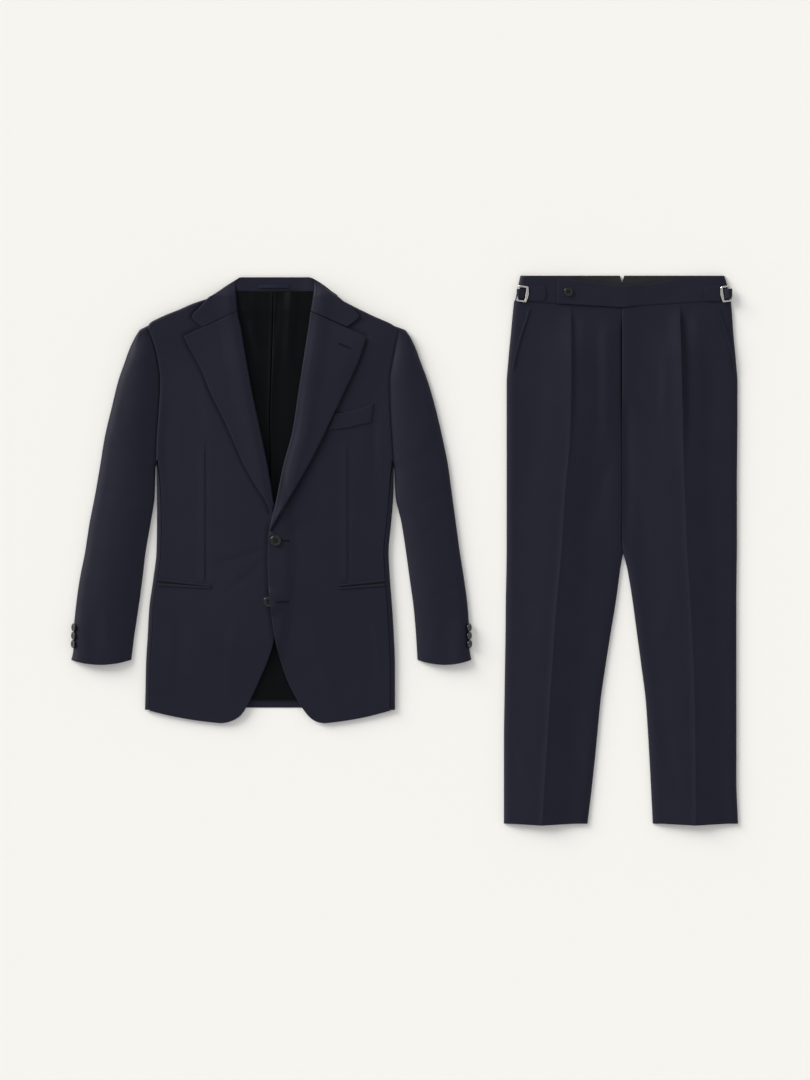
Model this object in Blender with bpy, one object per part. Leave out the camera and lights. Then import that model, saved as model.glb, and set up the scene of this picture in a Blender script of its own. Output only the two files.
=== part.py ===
"""A two-piece suit laid flat: a two-button jacket with notch lapels, and pleated trousers beside it.

Every cloth piece is a thin closed wall, cut as a maker would cut it and laid on the piece below.
Tables are in millimetres. In each garment x runs from its centre line towards the wearer's left,
and drop runs down from its top edge. Heights run up from the surface that the suit lies on.
"""

from collections import namedtuple
from math import acos, cos, pi, sin, sqrt

import bmesh
import bpy
from mathutils import Vector

# Driving sizes of the set, in millimetres
TROUSERS_LENGTH = 1000.0
TOP_DROP = 2.0
JACKET_CENTRE = -243.2
TROUSERS_CENTRE = 396.0
MM = 0.001

# Cloth thicknesses and the gap that neighbouring pieces keep
SEAM = 0.3
FRONT_CLOTH = 3.0
BODY_CLOTH = 2.0
SLEEVE_CLOTH = 2.4
LAPEL_CLOTH = 2.2
LINING_CLOTH = 1.2
TROUSER_CLOTH = 1.8
BAND_CLOTH = 2.2
TRIM_CLOTH = 1.0

# Heights of the laid garments
BODY_HEIGHT = 8.6
SLEEVE_HEIGHT = 8.6
CUFF_HEIGHT = 10.4
LEG_HEIGHT = 7.2
SHOULDER_PAD = 3.0
HEM_SETTLE = 1.0
ROLL_RISE = 1.2
ROLL_WIDTH = 22.0
ROLL_REACH = 5.0
SHOULDER_REACH = 9.0
SLEEVE_REACH = 8.0
SLEEVE_INNER_REACH = 7.0
COLLAR_EDGE_REACH = 6.0
STAND_RISE = 1.4
PLEAT_RISE = 1.1
PLEAT_HALF = 3.0
COLLAR_TOP_HEIGHT = 5.4
LAPEL_LOOSE = 1.2
OVERLAP_RAMP = 25.0
OVERLAP_STEP = 9.0
OVERLAP_MARGIN = 4.0
BUTTON_BUMP = 4.2
CREASE_RISE = 1.4
CREASE_HALF = 16.0
FLY_RISE = 1.2
FLY_WIDTH = 42.0
COLLAR_LIFT = BODY_CLOTH + SEAM

# Jacket edges: the wearer's right side has negative x
# Inner edge of each front: roll line of the lapel, then the buttoned edge, then the cutaway
CENTRE_EDGE = (
    # drop, right_x, left_x
    (4, -55, 71.5),
    (18, -63.5, 79),
    (45, -62, 76),
    (72, -59.5, 71.5),
    (98, -53.7, 68),
    (124, -49.5, 64),
    (170, -41.5, 57),
    (215, -33, 50),
    (286, -18, 39),
    (346, -5.5, 23),
    (412, 6, 9.5),
    (469, 17, -3),
    (512, 20, -5),
    (556, 19, -4),
    (600, 16, -0.5),
    (638, 11, 4),
    (663, 7, 8),
    (701, -5, 17.5),
    (739, -21, 30.5),
    (775, -38, 49),
    (802, -54, 67.5),
    (816, -76, 88),
)

# Shoulder line of the body, from the collar to the sleeve head
SHOULDER = (
    # drop, right_x, left_x
    (31, -88, 101),
    (41, -108, 119),
    (53, -142, 141),
    (65, -170, 165),
    (75, -195, 186),
    (89, -220, 217),
    (100, -225, 234),
)

# Sleeves: the inner edge is the armhole seam down to the underarm, then the sleeve's own fold
SLEEVE_EDGES = (
    # drop, right_outer_x, right_inner_x, left_inner_x, left_outer_x
    (101, -239, -223, 234, 245),
    (116, -248, -217, 231, 255),
    (135, -257, -211, 227, 264),
    (160, -266, -206, 222, 273),
    (195, -278, -202, 217, 286),
    (240, -289, -204, 218, 299),
    (295, -302, -208, 221, 312),
    (350, -311, -210, 224.5, 323),
    (402, -320, -211.5, 227, 330),
    (453, -330, -219, 238, 337),
    (505, -338, -228, 246, 344),
    (556, -348, -234, 253, 352),
    (607, -355, -241, 260, 358.5),
    (640, -358, -246, 263, 360.5),
    (660, -358.5, -249, 264.5, 361),
    (685, -359.5, -252, 266, 362),
    (701, -363, -254, 267, 365),
)
CUFF_SAG = 9.0
ARMHOLE_FALL = 1.8

# Side folds of the body, and how far the side panel comes round each of them
SIDE_FOLD = (
    # drop, right_x, left_x, over, under
    (345, -208, 223.5, 1, 12),
    (375, -207.5, 223.5, 5, 38),
    (410, -207, 222.5, 7, 55),
    (453, -207, 219, 8, 60),
    (505, -208, 214.5, 8, 60),
    (556, -214, 217, 8, 60),
    (607, -221, 221, 8, 60),
    (658, -224, 224, 8, 60),
    (709, -227, 226, 8, 60),
    (760, -228, 226, 8, 60),
    (792, -229, 226, 8, 60),
)
SIDE_REACH = 9.0
SIDE_TURNS = 6
UNDERARM_DROP = 340.0
SHOULDER_END_DROP = 100.0

# Rows of each front: where a row leaves the inner edge and where it meets the outer edge
FRONT_ROWS = (
    # inner_drop, outer_drop
    (43, 43),
    (54, 54),
    (66, 66),
    (78, 78),
    (90, 90),
    (101, 101),
    (116, 116),
    (135, 135),
    (160, 160),
    (195, 195),
    (240, 240),
    (295, 295),
    (345, 345),
    (376, 375),
    (413, 410),
    (434, 431),
    (457, 453),
    (508, 505),
    (545, 542),
    (574, 570),
    (594, 588),
    (614, 606),
    (640, 629),
    (668, 655),
    (701, 684),
    (739, 714),
    (775, 743),
    (802, 768),
    (816, 792),
)
HEM_BOW = 4.0
BACK_HEM = 788.0
LINING_HEM = 774.0
LINING_MARGIN = 14.0
BACK_SEAM_X = 1.0

# Lapels: each row leaves the roll line and meets the lapel's outer edge
LAPEL_ROWS = (
    # roll_drop, right_x, right_drop, left_x, left_drop
    (67.5, -157, 113, 174, 114),
    (88, -150, 129, 169, 131),
    (112, -138, 150, 161, 154),
    (145, -124, 177, 148, 184),
    (185, -108, 217, 133, 215),
    (230, -87, 259, 113, 258),
    (275, -71, 294, 93, 300),
    (320, -50, 342, 72, 341),
    (362, -28, 382, 52, 376),
    (400, -9, 411, 31, 412),
)
RIGHT_LAPEL_END = ((420, -3.5, 423), (434, 0, 434))
LEFT_LAPEL_END = ((430, 14, 440), (457, 0.5, 461))

# Collar leaves: each row leaves the roll line and meets the collar's outer edge
COLLAR_ROWS = (
    # roll_drop, right_x, right_drop, left_x, left_drop, outer_fold
    (6, -60, 7.5, 77, 9.5, 1),
    (14, -75, 16.5, 93, 19, 1),
    (24, -92, 28, 107, 29.5, 1),
    (33, -103, 35.5, 118, 37, 1),
    (42, -113, 42.5, 130, 47, 0),
    (51, -128, 60, 146, 61, 0),
    (58, -142.5, 77, 161, 76, 0),
    (66.5, -124.5, 96.5, 139.5, 95.5, 0),
)
STAND_ROWS = (
    # drop
    5,
    12,
    20,
    30.5,
)
COLLAR_FALL_ROWS = (
    # drop, right_x, left_x
    (6, -58, 75),
    (16, -74, 92),
    (29, -93, 109),
    (40, -108, 122),
    (48, -96, 114),
)
COLLAR_FALL_BOW = 5.0

# Pocket pieces that lie on the fronts: an upper and a lower edge at each end
JET_WIDTH = 3.2
POCKETS = (
    # side, inner_x, upper_drop, lower_drop, outer_x, outer_upper_drop, outer_lower_drop
    ("right", -108, 564.5, 571.5, -205, 552.5, 566.5),
    ("left", 124, 564.0, 572.5, 209, 553.5, 567.0),
)
BREAST_WELT = (
    # x_top, drop_top, x_bottom, drop_bottom
    (116.5, 253.5, 104, 283),
    (130, 252, 120, 281.5),
    (150, 248, 143, 278.5),
    (168, 242.5, 166, 272.5),
    (187, 235, 181.5, 269.5),
)

# Hanger loop sewn at its two ends on the collar stand
LOOP_LEFT_X = 33.0
LOOP_RIGHT_X = -22.0
LOOP_DROP = 21.5
LOOP_WIDTH = 6.0
LOOP_ARCH = 1.2

# Buttons
FRONT_BUTTON = 20.0
WAIST_BUTTON = 15.0
CUFF_BUTTON = 14.6
CUFF_BUTTON_TILT = 60.0
CUFF_BUTTON_INSET = 0.4
CUFF_BUTTON_HEIGHT = 6.8
CUFF_BUTTON_DROPS = (642.0, 657.0, 672.0)
UPPER_BUTTON = (9.5, 484.0)
LOWER_BUTTON = (-3.0, 595.0)
WAIST_BUTTON_PLACE = (-98.0, 32.0)

# Trousers: outer folds, inner folds and the pressed creases
LEG_EDGES = (
    # drop, right_outer_x, right_crease_x, right_inner_x, left_inner_x, left_crease_x, left_outer_x
    (50, -195, -93, -0.4, 0.4, 104, 197),
    (80, -199, -93, -0.4, 0.4, 105, 200),
    (114, -203, -93, -0.4, 0.4, 106, 203),
    (156, -207, -93, -0.4, 0.4, 107, 207),
    (200, -210, -93, -0.4, 0.4, 108, 210),
    (260, -210, -94, -0.4, 0.4, 109.5, 210),
    (320, -210, -97, -0.6, 0.6, 110.5, 209.5),
    (380, -210, -103, -1.5, 0.4, 112.5, 209),
    (440, -210, -107, -3.5, -0.6, 115, 209),
    (496, -210, -110.5, -5.5, 0.5, 117, 209),
    (540, -210.5, -114, -7, 8, 120, 208.5),
    (590, -211.5, -119, -10, 18.5, 123, 208),
    (648, -212, -123.5, -20, 26.5, 126, 208),
    (711, -213, -127.5, -30, 35, 129, 208),
    (774, -214, -132, -39, 43, 131, 208),
    (847, -215, -136.5, -46, 48, 132, 208),
    (920, -215, -141.5, -53.5, 52, 133, 208),
    (1000, -215, -146, -63, 56, 133, 211),
)
LEG_ROW_DROPS = (60.4, 85, 114, 156, 200, 260, 320, 380, 440, 500, 545, 590, 648, 711, 774, 847, 920, 999)
CREASE_POINT = 3.0
CREASE_POINT_HALF = 60.0
FOLD_SPLIT_DROP = 300.0
LEG_REACH = 8.0

# Waistband: its upper and lower edge across the front
BAND_EDGES = (
    # x, top_drop, bottom_drop
    (-195, 3, 47),
    (-158, 4, 51),
    (-118, 6, 53.5),
    (-69, 13, 56),
    (-36, 16, 58),
    (0, 20, 60),
    (30, 19, 57),
    (63, 14, 55),
    (95, 9, 53),
    (145, 4, 50),
    (197, 3, 47),
)
BAND_SIDE = (
    # drop, right_x, left_x
    (2, -185, 186),
    (18, -188.5, 191),
    (51, -195.5, 197.5),
)
TAB_END_X = -118.0
TAB_RAMP_START = 16.0
TAB_RAMP = 12.0
BAND_NOTCH_HALF = 4.0
BAND_NOTCH_DEPTH = 12.0
BACK_BAND_END = 60.0
BAND_HEIGHT = LEG_HEIGHT + 0.4
LINING_DROP = 1.0
STRAPS = (
    # side, inner_x, width, outer_x
    ("right", -139.0, 28.0, -172.0),
    ("left", 149.0, 30.0, 180.0),
)
STRAP_DROP = 34.0
STRAP_CLEARANCE = 0.2
STRAP_POINT = 5.0
STRAP_SHOULDER = 0.5
BUCKLE_WIDTH = 18.0
BUCKLE_HEIGHT = 30.0
BUCKLE_WIRE = 1.5
BUCKLE_BAR = 4.2
BUCKLE_RAIL = 5.5
BUCKLE_CORNER = 3.5
BUCKLE_WINDOW_CORNER = 1.2
BUCKLE_CORNER_TURNS = 3
BUCKLE_GAP = 0.6
BUCKLE_OFFSET = 1.5
SLANT_POCKET_WELT = 4.5
SLANT_POCKET_CLEARANCE = 0.3
SLANT_POCKET = (
    # drop, right_x, left_x
    (63, -171.5, 177),
    (85, -178, 184),
    (116, -188, 194),
    (149, -196.5, 202),
    (172, -201, 205),
)

# Material finishes: colour, roughness, metallic
FINISHES = {
    "navy_wool": ((0.022, 0.022, 0.036), 0.85, 0.0),
    "black_lining": ((0.006, 0.007, 0.009), 0.35, 0.0),
    "grey_lining": ((0.020, 0.020, 0.022), 0.60, 0.0),
    "loop_tape": ((0.014, 0.018, 0.040), 0.55, 0.0),
    "dark_horn": ((0.020, 0.018, 0.016), 0.35, 0.0),
    "steel": ((0.72, 0.72, 0.70), 0.25, 1.0),
}

Row = namedtuple("Row", "x_a x_b drop fold_a fold_b")
Fold = namedtuple("Fold", "reach fall")
FREE_EDGE = Fold(2.0, 0.8)
SEWN_EDGE = Fold(1.5, 0.4)
ARMHOLE_EDGE = Fold(5.0, 1.6)
PLAIN_EDGE = Fold(0.0, 0.0)


def clear_scene():
    for item in list(bpy.data.objects):
        bpy.data.objects.remove(item, do_unlink=True)


def material(name):
    found = bpy.data.materials.get(name)
    if found:
        return found
    colour, roughness, metallic = FINISHES[name]
    made = bpy.data.materials.new(name)
    made.use_nodes = True
    shader = made.node_tree.nodes["Principled BSDF"]
    shader.inputs["Base Color"].default_value = (*colour, 1.0)
    shader.inputs["Roughness"].default_value = roughness
    shader.inputs["Metallic"].default_value = metallic
    made.diffuse_color = (*colour, 1.0)
    return made


def smooth(t):
    t = min(max(t, 0.0), 1.0)
    return t * t * (3.0 - 2.0 * t)


def blend(a, b, t):
    return a + (b - a) * t


def read_table(table, key):
    """Values of the table's other columns at key, on a curve that never swings past its rows."""
    if key <= table[0][0]:
        return table[0][1:]
    if key >= table[-1][0]:
        return table[-1][1:]
    i = 0
    while table[i + 1][0] < key:
        i += 1
    step = table[i + 1][0] - table[i][0]
    t = (key - table[i][0]) / step
    values = []
    for c in range(1, len(table[0])):
        slope_a = row_slope(table, i, c) * step
        slope_b = row_slope(table, i + 1, c) * step
        start, end = table[i][c], table[i + 1][c]
        values.append(start * (1 + 2 * t) * (1 - t) ** 2 + slope_a * t * (1 - t) ** 2
                      + end * t * t * (3 - 2 * t) + slope_b * t * t * (t - 1))
    return tuple(values)


def row_slope(table, i, c):
    """Slope at row i: the harmonic mean of its neighbours' slopes, and level at a turning point."""
    if i == 0 or i == len(table) - 1:
        j = min(i, len(table) - 2)
        return (table[j + 1][c] - table[j][c]) / (table[j + 1][0] - table[j][0])
    before = (table[i][c] - table[i - 1][c]) / (table[i][0] - table[i - 1][0])
    after = (table[i + 1][c] - table[i][c]) / (table[i + 1][0] - table[i][0])
    if before * after <= 0:
        return 0.0
    return 2 * before * after / (before + after)


# Closed walls

def place(centre_x, x, drop, z):
    """World position, in metres, of a garment point."""
    y = TROUSERS_LENGTH / 2 + TOP_DROP - drop
    return Vector(((centre_x + x) * MM, y * MM, z * MM))


def solid_from_grids(name, outer, inner, finish):
    """Closed wall between two grids of points with the same rows and columns."""
    rows, columns = len(outer), len(outer[0])
    mesh = bpy.data.meshes.new(name)
    points = [p for grid in (outer, inner) for row in grid for p in row]

    def at(layer, i, j):
        return layer * rows * columns + i * columns + j

    faces = []
    for i in range(rows - 1):
        for j in range(columns - 1):
            faces.append((at(0, i, j), at(0, i + 1, j), at(0, i + 1, j + 1), at(0, i, j + 1)))
            faces.append((at(1, i, j), at(1, i, j + 1), at(1, i + 1, j + 1), at(1, i + 1, j)))
    for i in range(rows - 1):
        for j in (0, columns - 1):
            faces.append((at(0, i, j), at(1, i, j), at(1, i + 1, j), at(0, i + 1, j)))
    for j in range(columns - 1):
        for i in (0, rows - 1):
            faces.append((at(0, i, j), at(0, i, j + 1), at(1, i, j + 1), at(1, i, j)))
    mesh.from_pydata(points, [], faces)
    shell = bmesh.new()
    shell.from_mesh(mesh)
    bmesh.ops.recalc_face_normals(shell, faces=shell.faces)
    shell.to_mesh(mesh)
    shell.free()
    mesh.materials.append(material(finish))
    mesh.shade_smooth()
    mesh.set_sharp_from_angle(angle=0.7)
    made = bpy.data.objects.new(name, mesh)
    bpy.context.collection.objects.link(made)
    return made


def section(row, crown, stops, steps, inward, pad=None):
    """Points (x, drop, z) across one row, moved in by the cloth's thickness where inward is given.

    At each end the surface turns down as a quarter ellipse, in steps: reach across and fall down.
    """
    direction = 1.0 if row.x_b > row.x_a else -1.0
    width = abs(row.x_b - row.x_a)
    ends = []
    for fold in (row.fold_a, row.fold_b):
        reach = min(fold.reach, 0.42 * width)
        thickness = inward or 0.0
        inset = thickness * smooth((fold.fall - 0.4 * thickness) / (0.8 * thickness)) if inward else 0.0
        inset = min(inset, 0.4 * width)
        ends.append((reach, inset, max(reach - inset, 0.1), max(fold.fall - thickness, 0.0)))
    samples = []
    reach, inset, turn, fall = ends[0]
    for k in range(steps[0]):
        angle = 0.5 * pi * k / steps[0]
        filled = 1.0 if inset == 0 else sin(angle)
        samples.append((inset + turn * (1 - cos(angle)), fall * (1 - sin(angle)), filled))
    start = reach
    reach, inset, turn, fall = ends[1]
    span = width - start - reach
    for stop in stops:
        samples.append((start + span * stop, 0.0, 1.0))
    for k in reversed(range(steps[1])):
        angle = 0.5 * pi * k / steps[1]
        filled = 1.0 if inset == 0 else sin(angle)
        samples.append((width - inset - turn * (1 - cos(angle)), fall * (1 - sin(angle)), filled))
    points = []
    for along, sink, filled in samples:
        x = row.x_a + direction * along
        drop = row.drop(x)
        padding = pad(x, drop) * filled if pad and inward else 0.0
        points.append((x, drop, crown(x, drop) - (inward or 0.0) - sink - padding))
    return points


def wall(name, centre_x, rows, crown, thickness, finish, stops, steps=(1, 1), pad=None):
    """Cloth wall over the rows. crown gives its upper height, stops the fractions across each row
    that get a column, steps the turns of the fold at each end, and pad thickens it inward."""
    outer = []
    inner = []
    for row in rows:
        row_stops = stops(row) if callable(stops) else stops
        outer.append([place(centre_x, *p) for p in section(row, crown, row_stops, steps, None)])
        inner.append([place(centre_x, *p) for p in section(row, crown, row_stops, steps, thickness, pad)])
    return solid_from_grids(name, outer, inner, finish)


def level(drop):
    return lambda x: drop


def slanted(x_a, drop_a, x_b, drop_b, bow=0.0):
    """Row from one point to another, bowed down in the middle."""
    def drop(x):
        t = (x - x_a) / (x_b - x_a)
        return blend(drop_a, drop_b, t) + bow * 4 * t * (1 - t)
    return drop


def through(points):
    """Row that runs through the points."""
    return lambda x: read_table(points, x)[0]


def side_sign(side):
    return -1.0 if side == "right" else 1.0


def by_side(side, right_value, left_value):
    return right_value if side == "right" else left_value


# Jacket surfaces

def centre_edge(side, drop):
    return by_side(side, *read_table(CENTRE_EDGE, drop))


def armhole(side, drop):
    edges = read_table(SLEEVE_EDGES, drop)
    return by_side(side, edges[1], edges[2])


def side_fold(side, drop):
    edges = read_table(SIDE_FOLD, drop)
    return by_side(side, edges[0], edges[1])


def shoulder_pad(x, drop):
    """Padding of the shoulder, thickest at the sleeve head."""
    across = smooth((abs(x - 4) - 90) / 110)
    down = smooth((190 - drop) / 90)
    return SHOULDER_PAD * across * down


def collar_lift(x, drop):
    """Rise of the back and its lining where they lie on the collar's fall."""
    return COLLAR_LIFT * smooth((85 - drop) / 22) * smooth((178 - abs(x - 9)) / 22)


def overlap_lift(x, drop, ramp):
    """Rise of the left front where it laps over the right one, easing off over the ramp."""
    beyond = x - centre_edge("right", drop) - OVERLAP_MARGIN
    return (FRONT_CLOTH + SEAM) * smooth(1 - beyond / ramp)


def button_bump(x, drop):
    """Rise of the left front's edge where it rides over the lower button."""
    away = sqrt((x - LOWER_BUTTON[0]) ** 2 + (drop - LOWER_BUTTON[1]) ** 2)
    return BUTTON_BUMP * smooth((FRONT_BUTTON * 1.5 - away) / (FRONT_BUTTON * 0.8))


def front_crown(side):
    """Height of a front's outer surface."""
    def crown(x, drop):
        height = BODY_HEIGHT + shoulder_pad(x, drop) + 0.5 * collar_lift(x, drop)
        height -= HEM_SETTLE * smooth((drop - 640) / 150)
        if side == "left":
            height += overlap_lift(x, drop, OVERLAP_RAMP) + button_bump(x, drop)
        return height
    return crown


def front_padding(side):
    """Extra thickness of a front: the shoulder's pad, and the facing beside the overlap."""
    def padding(x, drop):
        facing = overlap_lift(x, drop, OVERLAP_RAMP) - overlap_lift(x, drop, OVERLAP_STEP)
        return shoulder_pad(x, drop) + by_side(side, 0.0, facing)
    return padding


def body_outer(side, drop):
    """Outer edge of a front: shoulder line, armhole seam, then the side panel's seam."""
    sign = side_sign(side)
    if drop < SHOULDER_END_DROP:
        return by_side(side, *read_table(SHOULDER, drop))
    if drop < UNDERARM_DROP:
        return armhole(side, drop) - sign * 2 * SEAM
    over = read_table(SIDE_FOLD, drop)[2]
    slant = BODY_CLOTH * (1 - over / SIDE_REACH)
    return side_fold(side, drop) - sign * (over + slant + 2 * SEAM)


def outer_fold(side, x, drop, crown):
    """How a front's outer edge turns down: onto the back at the shoulder, level at the seams."""
    if drop < SHOULDER_END_DROP:
        landing = BODY_CLOTH + 2 * SEAM + collar_lift(x, drop)
        return Fold(SHOULDER_REACH, crown(x, drop) - landing)
    if drop < UNDERARM_DROP:
        return ARMHOLE_EDGE
    return SEWN_EDGE


def make_front(side):
    sign = side_sign(side)
    crown = front_crown(side)
    rows = []
    for inner_drop, outer_drop in FRONT_ROWS:
        wrap = (LAPEL_CLOTH + 3 * SEAM) * smooth((474 - inner_drop) / 14)
        inner_x = centre_edge(side, inner_drop) + sign * wrap
        outer_x = body_outer(side, outer_drop)
        bow = HEM_BOW * smooth((inner_drop - 790) / 20)
        inner_fold = Fold(3.0, blend(0.8, 2.6, smooth((474 - inner_drop) / 14)))
        fold = outer_fold(side, outer_x, outer_drop, crown)
        rows.append(Row(inner_x, outer_x, slanted(inner_x, inner_drop, outer_x, outer_drop, bow),
                        inner_fold, fold))

    def stops(row):
        """Columns at the start and the end of the lift over the other front, then even ones."""
        width = abs(row.x_b - row.x_a)
        if side == "right":
            return (0.0, 0.2, 0.45, 0.72, 1.0)
        under_edge = centre_edge("right", row.drop(row.x_a))
        first = max(under_edge + OVERLAP_MARGIN / 2 - row.x_a, 4.0) / width
        step = first + OVERLAP_STEP / width
        ramp = first + OVERLAP_RAMP / width
        return (0.0, first, step, ramp, blend(ramp, 1.0, 0.5), 1.0)
    wall(side + "_front", JACKET_CENTRE, rows, crown, FRONT_CLOTH, "navy_wool", stops=stops,
         steps=(2, 3), pad=front_padding(side))


def side_height(drop):
    return BODY_HEIGHT - HEM_SETTLE * smooth((drop - 640) / 150)


def side_section(drop, sign, edge, over, under, thickness):
    """Points round a side fold: over the top, round the fold and back along the underside."""
    half = side_height(drop) / 2
    reach = SIDE_REACH - thickness
    fall = half - thickness
    start = acos(over / SIDE_REACH - 1)
    points = []
    for k in range(SIDE_TURNS + 1):
        angle = blend(start, 1.5 * pi, k / SIDE_TURNS)
        points.append((edge - sign * (SIDE_REACH + reach * cos(angle)), drop, half + fall * sin(angle)))
    for t in (0.5, 1.0):
        points.append((edge - sign * blend(SIDE_REACH, under, t), drop, thickness))
    return points


def make_side_panel(side):
    sign = side_sign(side)
    outer = []
    inner = []
    for drop, right_x, left_x, over, under in SIDE_FOLD:
        edge = by_side(side, right_x, left_x)
        for grid, depth in ((outer, 0.0), (inner, BODY_CLOTH)):
            points = side_section(drop, sign, edge, over, under, depth)
            grid.append([place(JACKET_CENTRE, *p) for p in points])
    solid_from_grids(side + "_side_panel", outer, inner, "navy_wool")


def back_outer(side, drop):
    """Outer edge of a back: shoulder line, armhole seam, then the side panel's seam underneath."""
    sign = side_sign(side)
    if drop < SHOULDER_END_DROP:
        return by_side(side, *read_table(SHOULDER, drop))
    if drop < UNDERARM_DROP:
        return armhole(side, drop) - sign * 2 * SEAM
    under = read_table(SIDE_FOLD, drop)[3]
    return side_fold(side, drop) - sign * (under + SEAM)


BACK_DROPS = (31.2, 43, 54, 66, 78, 90, 101, 116, 135, 160, 195, 240, 295, 338,
              345, 375, 410, 453, 505, 556, 607, 658, 709)


def make_back(side):
    sign = side_sign(side)

    def crown(x, drop):
        return BODY_CLOTH + collar_lift(x, drop)

    rows = []
    for drop in BACK_DROPS + (BACK_HEM,):
        rows.append(Row(BACK_SEAM_X + sign * SEAM / 2, back_outer(side, drop), level(drop),
                        PLAIN_EDGE, PLAIN_EDGE))
    wall(side + "_back", JACKET_CENTRE, rows, crown, BODY_CLOTH, "navy_wool", stops=(0.3, 0.62))


def make_back_lining():
    """Lining of the back, with the pleat that runs down its centre."""
    def crown(x, drop):
        pleat = PLEAT_RISE * smooth(1 - abs(x - BACK_SEAM_X) / PLEAT_HALF) * smooth((700 - drop) / 120)
        return BODY_CLOTH + SEAM + LINING_CLOTH + collar_lift(x, drop) + pleat

    rows = []
    for drop in (32, 43, 54, 66, 78, 90, 130, 200, 300, 400, 500, 600, 690, LINING_HEM):
        if drop < SHOULDER_END_DROP:
            edges = [centre_edge("right", drop) - LINING_MARGIN, centre_edge("left", drop) + LINING_MARGIN]
        else:
            wider = smooth((drop - SHOULDER_END_DROP) / 120)
            edges = [blend(centre_edge("right", SHOULDER_END_DROP) - LINING_MARGIN, -180, wider),
                     blend(centre_edge("left", SHOULDER_END_DROP) + LINING_MARGIN, 190, wider)]
        rows.append(Row(edges[0], edges[1], level(drop), PLAIN_EDGE, PLAIN_EDGE))

    def stops(row):
        width = row.x_b - row.x_a
        fold = (BACK_SEAM_X - row.x_a) / width
        half = PLEAT_HALF / width
        return (0.5 * fold, fold - half, fold, fold + half, 0.5 + 0.5 * fold)
    wall("back_lining", JACKET_CENTRE, rows, crown, LINING_CLOTH, "black_lining", stops=stops)


# Sleeves

def sleeve_padding(x, drop):
    """What rises on a sleeve: the shoulder's pad, and the buttoned vent near the cuff's outer fold."""
    cuff = (CUFF_HEIGHT - SLEEVE_HEIGHT) * smooth((drop - 600) / 50)
    near_outer = smooth((abs(x - 2) - 318) / 25)
    return 0.8 * shoulder_pad(x, drop) + cuff * near_outer


def sleeve_crown(x, drop):
    return SLEEVE_HEIGHT + sleeve_padding(x, drop)


def sleeve_row_edges(side, drop):
    edges = read_table(SLEEVE_EDGES, drop)
    if side == "right":
        return edges[0], edges[1]
    return edges[3], edges[2]


def make_sleeve(side):
    landing = SLEEVE_CLOTH + SEAM
    top_rows = []
    under_rows = []
    for drop in [row[0] for row in SLEEVE_EDGES]:
        outer_x, inner_x = sleeve_row_edges(side, drop)
        open_edge = smooth((395 - drop) / 190)
        inner_fall = blend(sleeve_crown(inner_x, drop) - landing, ARMHOLE_FALL, open_edge)
        sag = CUFF_SAG * smooth((drop - 640) / 60)
        line = slanted(outer_x, drop, inner_x, drop, sag)
        outer = Fold(SLEEVE_REACH, sleeve_crown(outer_x, drop) - landing)
        top_rows.append(Row(outer_x, inner_x, line, outer, Fold(SLEEVE_INNER_REACH, inner_fall)))
        under_rows.append(Row(outer_x, inner_x, line, PLAIN_EDGE, PLAIN_EDGE))

    wall(side + "_top_sleeve", JACKET_CENTRE, top_rows, sleeve_crown, SLEEVE_CLOTH, "navy_wool",
         stops=(0.0, 0.3, 0.6, 1.0), steps=(3, 3), pad=sleeve_padding)
    wall(side + "_under_sleeve", JACKET_CENTRE, under_rows, lambda x, drop: SLEEVE_CLOTH,
         SLEEVE_CLOTH, "navy_wool", stops=(0.5,))


# Lapels and collar

def lapel_crown(side):
    below = front_crown(side)

    def crown(x, drop):
        roll = abs(x - centre_edge(side, drop))
        loose = by_side(side, 0.0, LAPEL_LOOSE) * smooth((drop - 330) / 40)
        return below(x, drop) + 2 * SEAM + loose + LAPEL_CLOTH + ROLL_RISE * smooth(1 - roll / ROLL_WIDTH)
    return crown


def make_lapel(side):
    crown = lapel_crown(side)
    rows = []
    table = [(roll, *by_side(side, (rx, rd), (lx, ld))) for roll, rx, rd, lx, ld in LAPEL_ROWS]
    table += by_side(side, RIGHT_LAPEL_END, LEFT_LAPEL_END)
    for roll_drop, edge_x, edge_drop in table:
        roll_x = centre_edge(side, roll_drop)
        roll_fall = crown(roll_x, roll_drop) - (front_crown(side)(roll_x, roll_drop) - FRONT_CLOTH + SEAM)
        if side == "right":
            over_edge = centre_edge("left", roll_drop) - 1.0
            if over_edge < roll_x:
                roll_x = over_edge
                roll_fall = 1.0
        rows.append(Row(roll_x, edge_x, slanted(roll_x, roll_drop, edge_x, edge_drop),
                        Fold(ROLL_REACH, roll_fall), FREE_EDGE))
    wall(side + "_lapel", JACKET_CENTRE, rows, crown, LAPEL_CLOTH, "navy_wool",
         stops=(0.0, 0.4, 1.0), steps=(3, 1))


def collar_crown(side):
    above_front = lapel_crown(side)

    def crown(x, drop):
        return blend(COLLAR_TOP_HEIGHT, above_front(x, drop), smooth((drop - 10) / 32))
    return crown


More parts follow.
